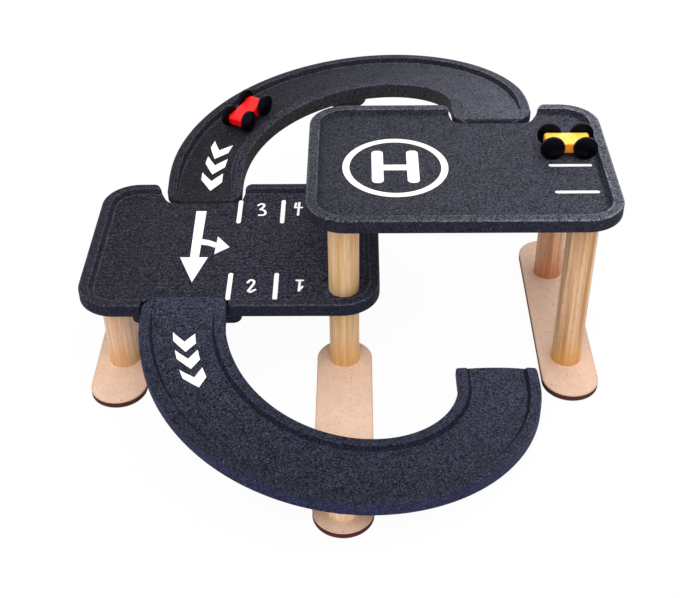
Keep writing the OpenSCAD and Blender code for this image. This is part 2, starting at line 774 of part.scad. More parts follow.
left_foot();
right_foot();
front_foot();
rear_foot();
left_front_post();
left_rear_post();
right_front_post();
right_rear_post();
middle_front_lower_post();
middle_rear_lower_post();
middle_front_upper_post();
middle_rear_upper_post();
lower_ramp_post();
upper_ramp_post();
mid_deck();
upper_deck();
lower_ramp();
upper_ramp();
foot_screws();
deck_dowels();
through_dowels();
yellow_car_body();
yellow_front_axle();
yellow_rear_axle();
yellow_front_left_wheel();
yellow_front_right_wheel();
yellow_rear_left_wheel();
yellow_rear_right_wheel();
red_car_body();
red_front_axle();
red_rear_axle();
red_front_left_wheel();
red_front_right_wheel();
red_rear_left_wheel();
red_rear_right_wheel();
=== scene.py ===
"""Looks of a toy parking garage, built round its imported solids.

Two tray decks stand on round posts and board feet, two half-round ramps rest between
them, and two small cars stand on top. Sizes are in millimetres, in the frame of the
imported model, and meshes are made in metres.
"""

import json
import logging
import math
from dataclasses import dataclass
from enum import Enum, IntEnum
from typing import Iterable, Sequence

import bpy
from mathutils import Matrix, Vector
from mathutils.geometry import delaunay_2d_cdt


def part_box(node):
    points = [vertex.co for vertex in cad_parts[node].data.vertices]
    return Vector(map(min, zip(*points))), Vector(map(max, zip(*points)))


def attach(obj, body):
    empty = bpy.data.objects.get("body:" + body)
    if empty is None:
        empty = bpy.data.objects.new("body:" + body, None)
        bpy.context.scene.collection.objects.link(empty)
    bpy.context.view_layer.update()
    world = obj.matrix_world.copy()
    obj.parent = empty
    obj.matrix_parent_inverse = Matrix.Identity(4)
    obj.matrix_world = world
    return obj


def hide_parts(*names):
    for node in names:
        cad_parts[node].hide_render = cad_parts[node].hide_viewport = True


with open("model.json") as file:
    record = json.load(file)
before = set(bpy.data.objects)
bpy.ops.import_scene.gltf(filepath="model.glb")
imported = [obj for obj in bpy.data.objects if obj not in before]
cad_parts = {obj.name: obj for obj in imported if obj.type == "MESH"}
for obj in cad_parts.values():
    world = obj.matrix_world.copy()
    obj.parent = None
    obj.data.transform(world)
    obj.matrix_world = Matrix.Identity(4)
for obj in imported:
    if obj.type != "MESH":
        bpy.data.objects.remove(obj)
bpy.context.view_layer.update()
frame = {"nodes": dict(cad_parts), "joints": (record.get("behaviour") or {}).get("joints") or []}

LOG = logging.getLogger("garage")
MM = 0.001
TURN = 2 * math.pi
IMAGE_WIDTH = 680

# Places that several sub-assemblies share
COLUMN_PITCH = 188.4
POST_ROWS = (-58.5, 64.1)
MIDDLE_Y = sum(POST_ROWS) / 2
RAMP_RADIUS = 127.7
MID_DECK_RISE = 73.8
UPPER_DECK_RISE = 154.2
TAB_LEVEL = 10.5

Point2 = tuple[float, float]
Point3 = tuple[float, float, float]
Colour = tuple[float, float, float, float]


class Slot(Enum):
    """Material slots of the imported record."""

    MOULDED = "moulded_wood"
    STEEL = "steel"
    YELLOW = "yellow_paint"
    RED = "red_paint"
    WHEEL = "wheel_black"


class Side(Enum):
    """Which way a ramp or a notch faces, as the sign of its Y direction."""

    REAR = 1
    FRONT = -1


class Face(IntEnum):
    """Kinds of face on a moulded piece, as the numbers of its finishes. Several carry painted light and
    shade.
    """

    TOP = 0
    # Outer walls and undersides: darker, partly the moulded skin and partly painted shade.
    SKIN = 1
    # Rounded edges and lines along the lips: paler, a painted highlight.
    EDGE = 2
    # Rim tops, with their own gradient of painted light.
    RIM = 3
    # Steep inner walls of the lips: darker, painted shade.
    WALL = 4


def seen(red: int, green: int, blue: int) -> Colour:
    """Linear colour of a tone as a screen shows it.

    Args:
        red: Red from 0 to 255.
        green: Green from 0 to 255.
        blue: Blue from 0 to 255.

    Returns:
        The linear colour with full alpha.
    """

    def linear(level: int) -> float:
        """Linear value of one channel."""
        share = level / 255
        return share / 12.92 if share <= 0.04045 else ((share + 0.055) / 1.055) ** 2.4

    return linear(red), linear(green), linear(blue), 1.0


class Wire:
    """An output socket of a node tree, whose operators add Math nodes."""

    def __init__(self, graph: "Graph", socket: bpy.types.NodeSocket) -> None:
        """Keeps the socket and the graph that it belongs to."""
        self.graph = graph
        self.socket = socket

    def math(self, operation: str, *values: "Value") -> "Wire":
        """Result of a Math node with numbers or wires for its inputs, in order."""
        return self.graph.add("ShaderNodeMath", {"operation": operation}, dict(enumerate(values)))

    def __add__(self, other: "Value") -> "Wire":
        """Sum."""
        return self.math("ADD", self, other)

    def __radd__(self, other: "Value") -> "Wire":
        """Sum with a number on the left."""
        return self.math("ADD", other, self)

    def __sub__(self, other: "Value") -> "Wire":
        """Difference."""
        return self.math("SUBTRACT", self, other)

    def __rsub__(self, other: "Value") -> "Wire":
        """Difference from a number on the left."""
        return self.math("SUBTRACT", other, self)

    def __mul__(self, other: "Value") -> "Wire":
        """Product."""
        return self.math("MULTIPLY", self, other)

    def __rmul__(self, other: "Value") -> "Wire":
        """Product with a number on the left."""
        return self.math("MULTIPLY", other, self)

    def __truediv__(self, other: "Value") -> "Wire":
        """Quotient."""
        return self.math("DIVIDE", self, other)

    def __lt__(self, other: "Value") -> "Wire":
        """1 where this is less, else 0."""
        return self.math("LESS_THAN", self, other)

    def __pow__(self, other: "Value") -> "Wire":
        """Power."""
        return self.math("POWER", self, other)

    def low(self, other: "Value") -> "Wire":
        """The lower of the two."""
        return self.math("MINIMUM", self, other)

    def high(self, other: "Value") -> "Wire":
        """The higher of the two."""
        return self.math("MAXIMUM", self, other)

    def sin(self) -> "Wire":
        """Sine of an angle in radians."""
        return self.math("SINE", self)

    def cos(self) -> "Wire":
        """Cosine of an angle in radians."""
        return self.math("COSINE", self)

    def share(self) -> "Wire":
        """The value held between 0 and 1."""
        return self.high(0.0).low(1.0)

    def around(self, middle: "Value", spread: float) -> "Wire":
        """A value from 0 to 1 as one that varies round a middle."""
        return middle + spread * (self - 0.5)

    def ease(self, start: "Value", end: "Value") -> "Wire":
        """Smooth rise from 0 at start to 1 at end."""
        settings = {"interpolation_type": "SMOOTHSTEP"}
        return self.graph.add("ShaderNodeMapRange", settings, {0: self, 1: start, 2: end})


Value = Wire | float | int


class Graph:
    """A node tree that is written as Python expressions."""

    def __init__(self, tree: bpy.types.NodeTree) -> None:
        """Keeps the tree."""
        self.tree = tree

    def node(
        self, kind: str, settings: dict | None = None, inputs: dict | None = None
    ) -> bpy.types.Node:
        """Adds a node.

        Args:
            kind: The node's type name.
            settings: Properties, which are set before the sockets.
            inputs: Numbers, colours or wires by socket name or number.

        Returns:
            The node.
        """
        node = self.tree.nodes.new(kind)
        for name, value in (settings or {}).items():
            setattr(node, name, value)
        for key, value in (inputs or {}).items():
            if isinstance(value, Wire):
                self.tree.links.new(value.socket, node.inputs[key])
            else:
                node.inputs[key].default_value = value
        return node

    def add(
        self, kind: str, settings: dict | None = None, inputs: dict | None = None, out: int | str = 0
    ) -> Wire:
        """Adds a node and gives one of its outputs, by name or number, as a wire."""
        return Wire(self, self.node(kind, settings, inputs).outputs[out])

    def place(self, scale: Point3 = (1.0, 1.0, 1.0)) -> Wire:
        """Object coordinates in millimetres.

        Args:
            scale: Further scale along each axis.

        Returns:
            The scaled coordinates.
        """
        where = self.add("ShaderNodeTexCoord", out="Object")
        per_metre = tuple(s / MM for s in scale)
        return self.add("ShaderNodeMapping", inputs={"Vector": where, "Scale": per_metre})

    def axes(self, vector: Wire) -> tuple[Wire, Wire, Wire]:
        """The three parts of a vector."""
        split = self.node("ShaderNodeSeparateXYZ", inputs={0: vector})
        return tuple(Wire(self, socket) for socket in split.outputs)

    def noise(self, place: Wire, grain: float, detail: float = 2.0, roughness: float = 0.5) -> Wire:
        """Noise from 0 to 1, with the size of its grain in millimetres."""
        inputs = {"Vector": place, "Scale": 1 / grain, "Detail": detail, "Roughness": roughness}
        return self.add("ShaderNodeTexNoise", inputs=inputs)

    def flecks(self, place: Wire, pitch: float, radius: float, share: float) -> Wire:
        """Round flecks in some of the cells of a loose grid.

        Args:
            place: Coordinates in millimetres.
            pitch: Size of a cell in millimetres.
            radius: Radius of a fleck, as a share of the pitch.
            share: Share of the cells that hold a fleck.

        Returns:
            1 on a fleck and 0 beside it.
        """
        cells = self.node("ShaderNodeTexVoronoi", inputs={"Vector": place, "Scale": 1 / pitch})
        chance = self.axes(Wire(self, cells.outputs["Color"]))[0]
        near = 1 - Wire(self, cells.outputs["Distance"]).ease(radius * 0.5, radius)
        return near * (chance < share)

    def grains(self, place: Wire, pitch: float) -> Wire:
        """A random value from 0 to 1 in each cell of a loose grid of a pitch in millimetres."""
        inputs = {"Vector": place, "Scale": 1 / pitch}
        return self.axes(self.add("ShaderNodeTexVoronoi", inputs=inputs, out="Color"))[0]

    def mix(self, share: Value, first: "Wire | Colour", second: "Wire | Colour") -> Wire:
        """Blend of two colours, by the share of the second."""
        return self.add("ShaderNodeMix", {"data_type": "RGBA"}, {0: share, 6: first, 7: second}, out=2)

    def tint(self, colour: "Wire | Colour", tone: Wire) -> Wire:
        """A colour made lighter or darker by a number."""
        settings = {"data_type": "RGBA", "blend_type": "MULTIPLY"}
        return self.add("ShaderNodeMix", settings, {0: 1.0, 6: colour, 7: tone}, out=2)

    def bump(self, height: Wire, depth: float, strength: float = 1.0) -> Wire:
        """Normal from a height, with the depth of a full step in millimetres."""
        inputs = {"Strength": strength, "Distance": depth * MM, "Height": height}
        return self.add("ShaderNodeBump", inputs=inputs)


class Finish:
    """Base of the finishes. A finish makes its material once and then gives it again."""

    name: str

    def sockets(self, g: Graph) -> dict:
        """Values or wires for the sockets of the surface shader."""
        raise NotImplementedError

    def surface(self, g: Graph) -> Wire:
        """The surface shader."""
        return g.add("ShaderNodeBsdfPrincipled", inputs=self.sockets(g))

    def material(self) -> bpy.types.Material:
        """The finish as a material.

        Returns:
            The material, made on the first call.
        """
        found = bpy.data.materials.get(self.name)
        if found:
            return found
        made = bpy.data.materials.new(self.name)
        made.use_nodes = True
        g = Graph(made.node_tree)
        g.tree.nodes.clear()
        g.node("ShaderNodeOutputMaterial", inputs={"Surface": self.surface(g)})
        return made


@dataclass(frozen=True)
class MouldedWood(Finish):
    """Dark composite of dyed wood grains, matt and speckled.

    It has tool lines if it has a pitch for them, and its tone may grow along X and Y, by
    so many doublings in a metre: a gradient of painted light and shade, lighter as a painted
    sheen toward one side and darker as painted shade toward the other.
    """

    name: str
    base: Colour
    painted_light_growth: Point2 = (0.0, 0.0)
    line_pitch: float = 0.0
    pale: Colour = seen(158, 160, 166)
    grain: float = 0.85
    mottle: float = 16.0
    contrast: float = 2.4
    darkest: float = 0.12
    fleck_pitch: float = 1.9
    fleck_r: float = 0.27
    fleck_share: float = 0.16
    line_depth: float = 0.2
    line_patch: float = 30.0
    relief: float = 0.3
    shine: float = 0.12

    def sockets(self, g: Graph) -> dict:
        """Values or wires for the sockets of the surface shader.

        Args:
            g: Graph of the material.

        Returns:
            Values or wires by socket name.
        """
        place = g.place()
        grit = g.noise(place, self.grain, 3.0, 0.7)
        chips = g.grains(place, self.grain)
        cloud = g.noise(place, self.mottle)
        flecks = g.flecks(place, self.fleck_pitch, self.fleck_r, self.fleck_share)
        speckle = 1.2 * (chips - 0.5) + (grit - 0.5)
        tone = cloud.around(1 + self.contrast * speckle, 0.5)
        height = grit + 0.4 * chips
        if self.line_pitch:
            lines = self.tool_lines(g, place)
            tone = tone * (1 + self.line_depth * lines)
            height = height + 0.5 * lines
        tone = tone.high(self.darkest)
        # Painted light and shade: the tone doubles along X and Y.
        if any(self.painted_light_growth):
            tone = tone * self.painted_light_tone(g, place)
        return {
            "Base Color": g.mix(0.4 * flecks, g.tint(self.base, tone), self.pale),
            "Roughness": grit.around(0.7, 0.3).share(),
            "Specular IOR Level": self.shine,
            "Normal": g.bump(height, self.relief, 0.6),
        }

    def tool_lines(self, g: Graph, place: Wire) -> Wire:
        """Faint straight lines along X that a cutter leaves.

        Args:
            g: Graph of the material.
            place: Coordinates in millimetres.

        Returns:
            Height of the lines from -1 to 1.
        """
        across = g.axes(place)[1]
        patches = g.noise(place, self.line_patch, 1.0)
        return (across * (TURN / self.line_pitch)).sin() * patches.ease(0.25, 0.7)

    def painted_light_tone(self, g: Graph, place: Wire) -> Wire:
        """Painted light and shade: a tone that doubles as often as the gradient says.

        Args:
            g: Graph of the material.
            place: Coordinates in millimetres.

        Returns:
            Factor of the tone.
        """
        x, y, _ = g.axes(place)
        times = x * (self.painted_light_growth[0] * MM) + y * (self.painted_light_growth[1] * MM)
        return times.math("POWER", 2.0, times)


@dataclass(frozen=True)
class Moulding:
    """The finishes of a moulded piece: milled top; dark skin, partly painted shade; pale edges, a painted
    highlight; pale rims; and inner walls, dark with painted shade.
    """

    name: str
    top: Colour
    skin: Colour
    edge: Colour
    rim: Colour
    wall: Colour
    # Gradients of painted light and shade, in doublings of tone per metre along X and Y.
    painted_light_growth: Point2 = (0.0, 0.0)
    rim_painted_light_growth: Point2 = (0.0, 0.0)
    line_pitch: float = 0.0
    contrast: float = 2.4
    skin_contrast: float = 1.3
    rim_contrast: float = 1.8
    few_flecks: float = 0.05

    def finishes(self) -> tuple[Finish, ...]:
        """The finish of each kind of face.

        Returns:
            The finishes in the order of the kinds.
        """
        # All five are copies of one material: skin and walls are darker as painted shade (the skin partly
        # also as moulded skin), and edges are paler as a painted highlight.
        start, few = f"finish_{self.name}", self.few_flecks
        return (
            MouldedWood(f"{start}_top", self.top, self.painted_light_growth, self.line_pitch, contrast=self.contrast),
            MouldedWood(f"{start}_skin", self.skin, contrast=self.skin_contrast, fleck_share=few),
            MouldedWood(f"{start}_edge", self.edge, self.rim_painted_light_growth, contrast=self.rim_contrast),
            MouldedWood(f"{start}_rim", self.rim, self.rim_painted_light_growth, contrast=self.rim_contrast),
            MouldedWood(f"{start}_wall", self.wall, contrast=self.rim_contrast, fleck_share=few),
        )


@dataclass(frozen=True)
class PostWood(Finish):
    """Oiled pale hardwood with its grain along Z, and a warmer tone near the ground."""

    name: str = "finish_post_wood"
    pale: Colour = seen(234, 200, 160)
    gold: Colour = seen(208, 160, 102)
    warm: Colour = seen(216, 158, 84)
    pore: Colour = seen(160, 106, 62)
    figure: float = 0.55
    warmth: float = 0.6
    warm_heights: Point2 = (10.0, 42.0)
    band_size: float = 5.0
    fibre_size: float = 0.9
    pore_size: float = 0.45
    vein_size: float = 2.6
    relief: float = 0.12

    def sockets(self, g: Graph) -> dict:
        """Values or wires for the sockets of the surface shader.

        Args:
            g: Graph of the material.

        Returns:
            Values or wires by socket name.
        """

        def streaks(size: float, stretch: float, *layers: float) -> Wire:
            """Noise that is drawn out along the grain."""
            return g.noise(g.place((1.0, 1.0, stretch)), size, *layers)

        bands = streaks(self.band_size, 0.02, 3.0, 0.6)
        fibres = streaks(self.fibre_size, 0.025)
        pores = streaks(self.pore_size, 0.06, 1.0).ease(0.6, 0.74)
        veins = streaks(self.vein_size, 0.012, 1.0).ease(0.66, 0.74)
        low = 1 - g.axes(g.place())[2].ease(*self.warm_heights)
        golden = bands.ease(0.36, 0.64).around(0.5, self.figure)
        wood = g.mix(self.warmth * low, g.mix(golden, self.pale, self.gold), self.warm)
        fibred = g.tint(wood, fibres.around(1.0, 0.7))
        return {
            "Base Color": g.mix((self.figure * (0.8 * pores + veins)).share(), fibred, self.pore),
            "Roughness": (fibres.around(0.46, 0.3) + 0.2 * pores).share(),
            "Specular IOR Level": 0.4,
            "Normal": g.bump(fibres - 0.6 * pores, self.relief, 0.5),
        }


@dataclass(frozen=True)
class BoardWood(Finish):
    """Pale pressed board with fine dark specks, and a scorched cut edge.

    Specks are given by the pitch, the radius and the share that flecks take.
    """

    name: str
    centre_x: float
    front_y: float
    rear_y: float
    width: float
    thickness: float
    face: Colour = seen(240, 204, 178)
    speck: Colour = seen(134, 88, 64)
    scorched: Colour = seen(66, 30, 28)
    stain: Colour = seen(186, 138, 112)
    # Factor on the face colour, which carries a foot's painted light or shade.
    tone: float = 1.0
    cloud_size: float = 9.0
    grit_size: float = 1.3
    small_specks: Point3 = (1.9, 0.26, 0.4)
    large_specks: Point3 = (5.0, 0.16, 0.4)
    clean_foot: Point2 = (0.5, 0.9)
    clean_top: Point2 = (1.0, 0.6)
    stain_width: Point2 = (0.2, 1.4)
    scorch_depth: Point2 = (0.15, 0.4)
    relief: float = 0.08

    def sockets(self, g: Graph) -> dict:
        """Values or wires for the sockets of the surface shader.

        Args:
            g: Graph of the material.

        Returns:
            Values or wires by socket name.
        """
        place = g.place()
        cloud = g.noise(place, self.cloud_size, 3.0)
        grit = g.noise(place, self.grit_size)
        small = g.flecks(place, *self.small_specks)
        large = g.flecks(place, *self.large_specks)
        inward, level = self.depth_from_edge(g, place)
        tone = self.tone * grit.around(cloud.around(1.0, 0.22), 0.45)
        face = g.mix((0.35 * small + 0.75 * large).share(), g.tint(self.face, tone), self.speck)
        stained = g.mix(0.5 * (1 - inward.ease(*self.stain_width)), face, self.stain)
        ragged = grit.around(level, 0.4)
        top = [self.thickness - drop for drop in self.clean_top]
        band = ragged.ease(*self.clean_foot) * (1 - ragged.ease(*top))
        burnt = band * (1 - inward.ease(*self.scorch_depth))
        edge = g.tint(self.scorched, 0.7 + 1.2 * (cloud - 0.2))
        return {
            "Base Color": g.mix(burnt, stained, edge),
            "Roughness": grit.around(0.62 + 0.25 * burnt, 0.3).share(),
            "Specular IOR Level": 0.3,
            "Normal": g.bump(grit + 0.4 * small, self.relief, 0.5),
        }

    def depth_from_edge(self, g: Graph, place: Wire) -> tuple[Wire, Wire]:
        """Depth inside the board's round-ended outline.

        Args:
            g: Graph of the material.
            place: Coordinates in millimetres.

        Returns:
            The depth, and the height over the ground.
        """
        x, y, level = g.axes(place)
        radius = self.width / 2
        beyond = y - y.high(self.front_y + radius).low(self.rear_y - radius)
        beside = x - self.centre_x
        reach = (beside * beside + beyond * beyond) ** 0.5
        return radius - reach, level


@dataclass(frozen=True)
class CarPaint(Finish):
    """Gloss paint on a small wooden block."""

    name: str
    base: Colour
    deep: Colour
    cloud_size: float = 5.0
    skin_size: float = 1.6
    relief: float = 0.06

    def sockets(self, g: Graph) -> dict:
        """Values or wires for the sockets of the surface shader.

        Args:
            g: Graph of the material.

        Returns:
            Values or wires by socket name.
        """
        place = g.place()
        cloud = g.noise(place, self.cloud_size, 3.0)
        skin = g.noise(place, self.skin_size)
        return {
            "Base Color": g.mix(0.5 * cloud.ease(0.4, 0.75), self.base, self.deep),
            "Roughness": skin.around(0.34, 0.3).share(),
            "Specular IOR Level": 0.25,
            "Coat Weight": 0.08,
            "Coat Roughness": 0.12,
            "Normal": g.bump(skin, self.relief, 0.35),
        }


@dataclass(frozen=True)
class WheelLacquer(Finish):
    """Black lacquer on turned wheels, dusty and a little hazy."""

    name: str = "finish_wheel_black"
    base: Colour = seen(4, 4, 6)
    worn: Colour = seen(14, 14, 20)
    sheen: Colour = seen(170, 170, 255)
    dust_size: float = 0.8
    haze_size: float = 4.0
    relief: float = 0.05

    def sockets(self, g: Graph) -> dict:
        """Values or wires for the sockets of the surface shader.

        Args:
            g: Graph of the material.

        Returns:
            Values or wires by socket name.
        """
        place = g.place()
        dust = g.noise(place, self.dust_size, 3.0, 0.7)
        haze = g.noise(place, self.haze_size)
        return {
            "Base Color": g.mix(0.6 * dust.ease(0.55, 0.8), self.base, self.worn),
            "Roughness": haze.around(0.42, 0.35).share(),
            "Specular IOR Level": 0.12,
            "Specular Tint": self.sheen,
            "Coat Weight": 0.04,
            "Coat Roughness": 0.2,
            "Normal": g.bump(dust, self.relief, 0.4),
        }


@dataclass(frozen=True)
class PrintWhite(Finish):
    """White stencil paint with a few pinholes, given by their pitch, radius and share."""

    name: str = "finish_white_print"
    base: Colour = seen(250, 250, 248)
    worn: Colour = seen(176, 176, 178)
    grit_size: float = 1.1
    pinholes: Point3 = (2.2, 0.22, 0.22)
    relief: float = 0.08

    def sockets(self, g: Graph) -> dict:
        """Values or wires for the sockets of the surface shader.

        Args:
            g: Graph of the material.

        Returns:
            Values or wires by socket name.
        """
        place = g.place()
        grit = g.noise(place, self.grit_size, 3.0, 0.65)
        holes = g.flecks(place, *self.pinholes)
        worn = (0.5 * grit.ease(0.62, 0.8) + 0.5 * holes).share()
        return {
            "Base Color": g.mix(worn, self.base, self.worn),
            "Roughness": grit.around(0.7, 0.3).share(),
            "Specular IOR Level": 0.25,
            "Normal": g.bump(grit, self.relief, 0.5),
        }


@dataclass(frozen=True)
class PlainSteel(Finish):
    """Bright plated steel with fine drawn lines along Y."""

    name: str = "finish_steel"
    base: Colour = seen(205, 205, 208)
    dull: Colour = seen(140, 140, 146)
    line_size: float = 0.25
    haze_size: float = 2.5
    relief: float = 0.02

    def sockets(self, g: Graph) -> dict:
        """Values or wires for the sockets of the surface shader.

        Args:
            g: Graph of the material.

        Returns:
            Values or wires by socket name.
        """
        lines = g.noise(g.place((1.0, 0.08, 1.0)), self.line_size)
        haze = g.noise(g.place(), self.haze_size)
        return {
            "Base Color": g.mix(0.6 * haze.ease(0.4, 0.75), self.base, self.dull),
            "Metallic": 1.0,
            "Roughness": lines.around(0.32, 0.35).share(),
            "Normal": g.bump(lines, self.relief, 0.4),
        }


@dataclass(frozen=True)
class WhiteFloor(Finish):
    """Matt white floor that shows as white to the eye and in what mirrors it, and keeps soft shadows."""

    name: str = "finish_floor"
    base: Colour = seen(245, 245, 246)
    white: Colour = seen(255, 255, 255)
    glow: float = 0.96

    def surface(self, g: Graph) -> Wire:
        """Mixes a matt white with a glow for what is seen.

        Args:
            g: Graph of the material.

        Returns:
            The surface shader.
        """
        rays = g.node("ShaderNodeLightPath").outputs
        kinds = ("Camera", "Glossy", "Transmission")
        camera, glossy, through = (Wire(g, rays[f"Is {kind} Ray"]) for kind in kinds)
        share = self.glow * (camera + glossy + through).share()
        matt = g.add("ShaderNodeBsdfDiffuse", inputs={"Color": self.base})
        light = g.add("ShaderNodeEmission", inputs={"Color": self.white, "Strength": 1.0})
        return g.add("ShaderNodeMixShader", inputs={0: share, 1: matt, 2: light})


def linked(name: str, data: bpy.types.ID) -> bpy.types.Object:
    """A new object for some data, linked into the scene.

    Args:
        name: Name of the object.
        data: Its mesh, lamp or camera.

    Returns:
        The object.
    """
    made = bpy.data.objects.new(name, data)
    bpy.context.scene.collection.objects.link(made)
    return made


class Shape:
    """Points in millimetres, the faces between them and the kind of each face."""

    def __init__(self) -> None:
        """Starts with no points."""
        self.points: list[Point3] = []
        self.faces: list[tuple[int, ...]] = []
        self.kinds: list[int] = []

    def add(self, points: Iterable[Point3]) -> int:
        """Adds points.

        Args:
            points: Points in millimetres.

        Returns:
            Number of the first one.
        """
        start = len(self.points)
        self.points.extend(points)
        return start

    def face(self, corners: Iterable[int], kind: Face = Face.TOP) -> None:
        """Adds a face between points."""
        self.faces.append(tuple(corners))
        self.kinds.append(kind)

    def loft(
        self, loops: Sequence[Sequence[Point3]], kinds: Sequence[Face] = (),
        caps: tuple[Face, Face] | None = (Face.TOP, Face.TOP),
    ) -> "Shape":
        """Joins closed loops of equal length into a skin.

        Args:
            loops: Loops that run counterclockwise seen from the last one.
            kinds: Kind of the faces between each loop and the next, if it isn't the first kind.
            caps: Kinds of the faces that close the first and the last loop, or None.

        Returns:
            This shape.
        """
        count = len(loops[0])
        start = self.add(point for loop in loops for point in loop)
        for row in range(len(loops) - 1):
            low = start + row * count
            kind = kinds[row] if kinds else Face.TOP
            for k in range(count):
                nxt = (k + 1) % count
                self.face((low + k, low + nxt, low + count + nxt, low + count + k), kind)
        if caps:
            last = start + (len(loops) - 1) * count
            self.face(range(start + count - 1, start - 1, -1), caps[0])
            self.face(range(last, last + count), caps[1])
        return self

    def put(self, other: "Shape", move: Point3 = (0.0, 0.0, 0.0)) -> "Shape":
        """Adds a moved copy of another shape.

        Args:
            other: The shape to copy.
            move: How far the copy moves.

        Returns:
            This shape.
        """
        start = self.add(tuple(a + b for a, b in zip(point, move)) for point in other.points)
        for face, kind in zip(other.faces, other.kinds):
            self.face((start + i for i in face), kind)
        return self

    def used(self) -> "Shape":
        """A copy without the points that no face uses.

        Returns:
            The copy.
        """
        numbers = sorted({i for face in self.faces for i in face})
        place = {old: new for new, old in enumerate(numbers)}
        made = Shape()
        made.points = [self.points[i] for i in numbers]
        made.faces = [tuple(place[i] for i in face) for face in self.faces]
        made.kinds = list(self.kinds)
        return made

    def turned(self, matrix: Matrix) -> "Shape":
        """A copy of this shape that is moved.

        Args:
            matrix: Its move in millimetres.

        Returns:
            The copy.
        """
        made = Shape()
        made.points = [tuple(matrix @ Vector(point)) for point in self.points]
        made.faces = list(self.faces)
        made.kinds = list(self.kinds)
        return made

    def piece(self, name: str, *finishes: Finish) -> bpy.types.Object:
        """The shape as an object.

        Args:
            name: Name of the piece.
            finishes: Finish of each kind of face.

        Returns:
            The object, linked into the scene.
        """
        mesh = bpy.data.meshes.new(name)
        mesh.from_pydata([tuple(c * MM for c in point) for point in self.points], [], self.faces)
        return self.paint(linked(name, mesh), finishes)

    def paint(self, piece: bpy.types.Object, finishes: Sequence[Finish]) -> bpy.types.Object:
        """Gives each face of a piece of this shape the finish of its kind.

        Args:
            piece: The piece.
            finishes: Finish of each kind of face.

        Returns:
            The piece.
        """
        mesh = piece.data
        mesh.materials.clear()
        for finish in finishes:
            mesh.materials.append(finish.material())
        mesh.polygons.foreach_set("material_index", self.kinds)
        return piece


def circle(radius: float, level: float, steps: int = 64) -> list[Point3]:
    """Counterclockwise circle round Z at a height."""
    angles = [TURN * k / steps for k in range(steps)]
    return [(radius * math.cos(a), radius * math.sin(a), level) for a in angles]


def quarter(steps: int = 4) -> list[Point2]:
    """Sine and cosine complements of a quarter turn, from (1, 0) to (0, 1)."""
    angles = [math.pi / 2 * k / steps for k in range(steps + 1)]
    return [(1 - math.sin(a), 1 - math.cos(a)) for a in angles]


def round_block(half_x: float, half_y: float, radius: float, inset: float, steps: int = 14) -> list[Point2]:
    """Counterclockwise outline of a rectangle with round corners.

    Args:
        half_x: Half length along X.
        half_y: Half width along Y.
        radius: Radius of the corners.
        inset: How far the outline is drawn in.
        steps: Steps round each corner.

    Returns:
        The outline's points.
    """
    outline = []
    reach = radius - inset
    for number, (side_x, side_y) in enumerate(((1, 1), (-1, 1), (-1, -1), (1, -1))):
        x, y = side_x * (half_x - radius), side_y * (half_y - radius)
        for k in range(steps + 1):
            a = math.pi / 2 * (number + k / steps)
            outline.append((x + reach * math.cos(a), y + reach * math.sin(a)))
    return outline


def raised(outline: Iterable[Point2], level: float) -> list[Point3]:
    """An outline at a height."""
    return [(x, y, level) for x, y in outline]


def plain_mesh(piece: bpy.types.Object) -> bpy.types.Object:
    """Turns the result of a piece's modifiers into its own plain mesh.

    Args:
        piece: The piece.

    Returns:
        The piece.
    """
    view = bpy.context.evaluated_depsgraph_get()
    mesh = bpy.data.meshes.new_from_object(piece.evaluated_get(view), depsgraph=view)
    piece.modifiers.clear()
    piece.data = mesh
    return piece


def cut(piece: bpy.types.Object, cutters: Sequence[bpy.types.Object]) -> bpy.types.Object:
    """Takes the cutters out of a piece and removes them.

    Args:
        piece: The piece.
        cutters: Solids to take out of it.

    Returns:
        The piece.
    """
    for cutter in cutters:
        tool = piece.modifiers.new("cut", "BOOLEAN")
        tool.operation = "DIFFERENCE"
        tool.solver = "EXACT"
        tool.object = cutter
    plain_mesh(piece)
    for cutter in cutters:
        bpy.data.objects.remove(cutter)
    return piece


def soften(
    piece: bpy.types.Object, width: float, angle: float = 50.0, steps: int = 2
) -> bpy.types.Object:
    """Rounds the sharp edges of a piece.

    Args:
        piece: The piece.
        width: Width of the rounding in millimetres.
        angle: Angle in degrees above which an edge is sharp.
        steps: Steps across the rounding.

    Returns:
        The piece.
    """
    bevel = piece.modifiers.new("bevel", "BEVEL")
    bevel.limit_method = "ANGLE"
    bevel.angle_limit = math.radians(angle)
    bevel.width = width * MM
    bevel.segments = steps
    bevel.use_clamp_overlap = False
    # The rounding takes the pale edge finish, a painted highlight.
    bevel.material = Face.EDGE
    return plain_mesh(piece)


def smooth(piece: bpy.types.Object, angle: float = 35.0) -> bpy.types.Object:
    """Shades a piece smooth, with normals weighted by face area.

    Args:
        piece: The piece.
        angle: Angle in degrees above which an edge stays sharp.

    Returns:
        The piece.
    """
    piece.data.shade_smooth()
    piece.data.set_sharp_from_angle(angle=math.radians(angle))
    weight = piece.modifiers.new("normals", "WEIGHTED_NORMAL")
    weight.keep_sharp = True
    return plain_mesh(piece)


def settle(
    piece: bpy.types.Object, body: str, nodes: Sequence[str] = ()
) -> None:
    """Puts a finished piece on its body.

    Args:
        piece: The piece.
        body: Name of the body that carries it.
        nodes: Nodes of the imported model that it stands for.
    """
    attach(piece, body)
    if nodes:
        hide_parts(*nodes)
    LOG.info("%s: %d faces on %s", piece.name, len(piece.data.polygons), body)


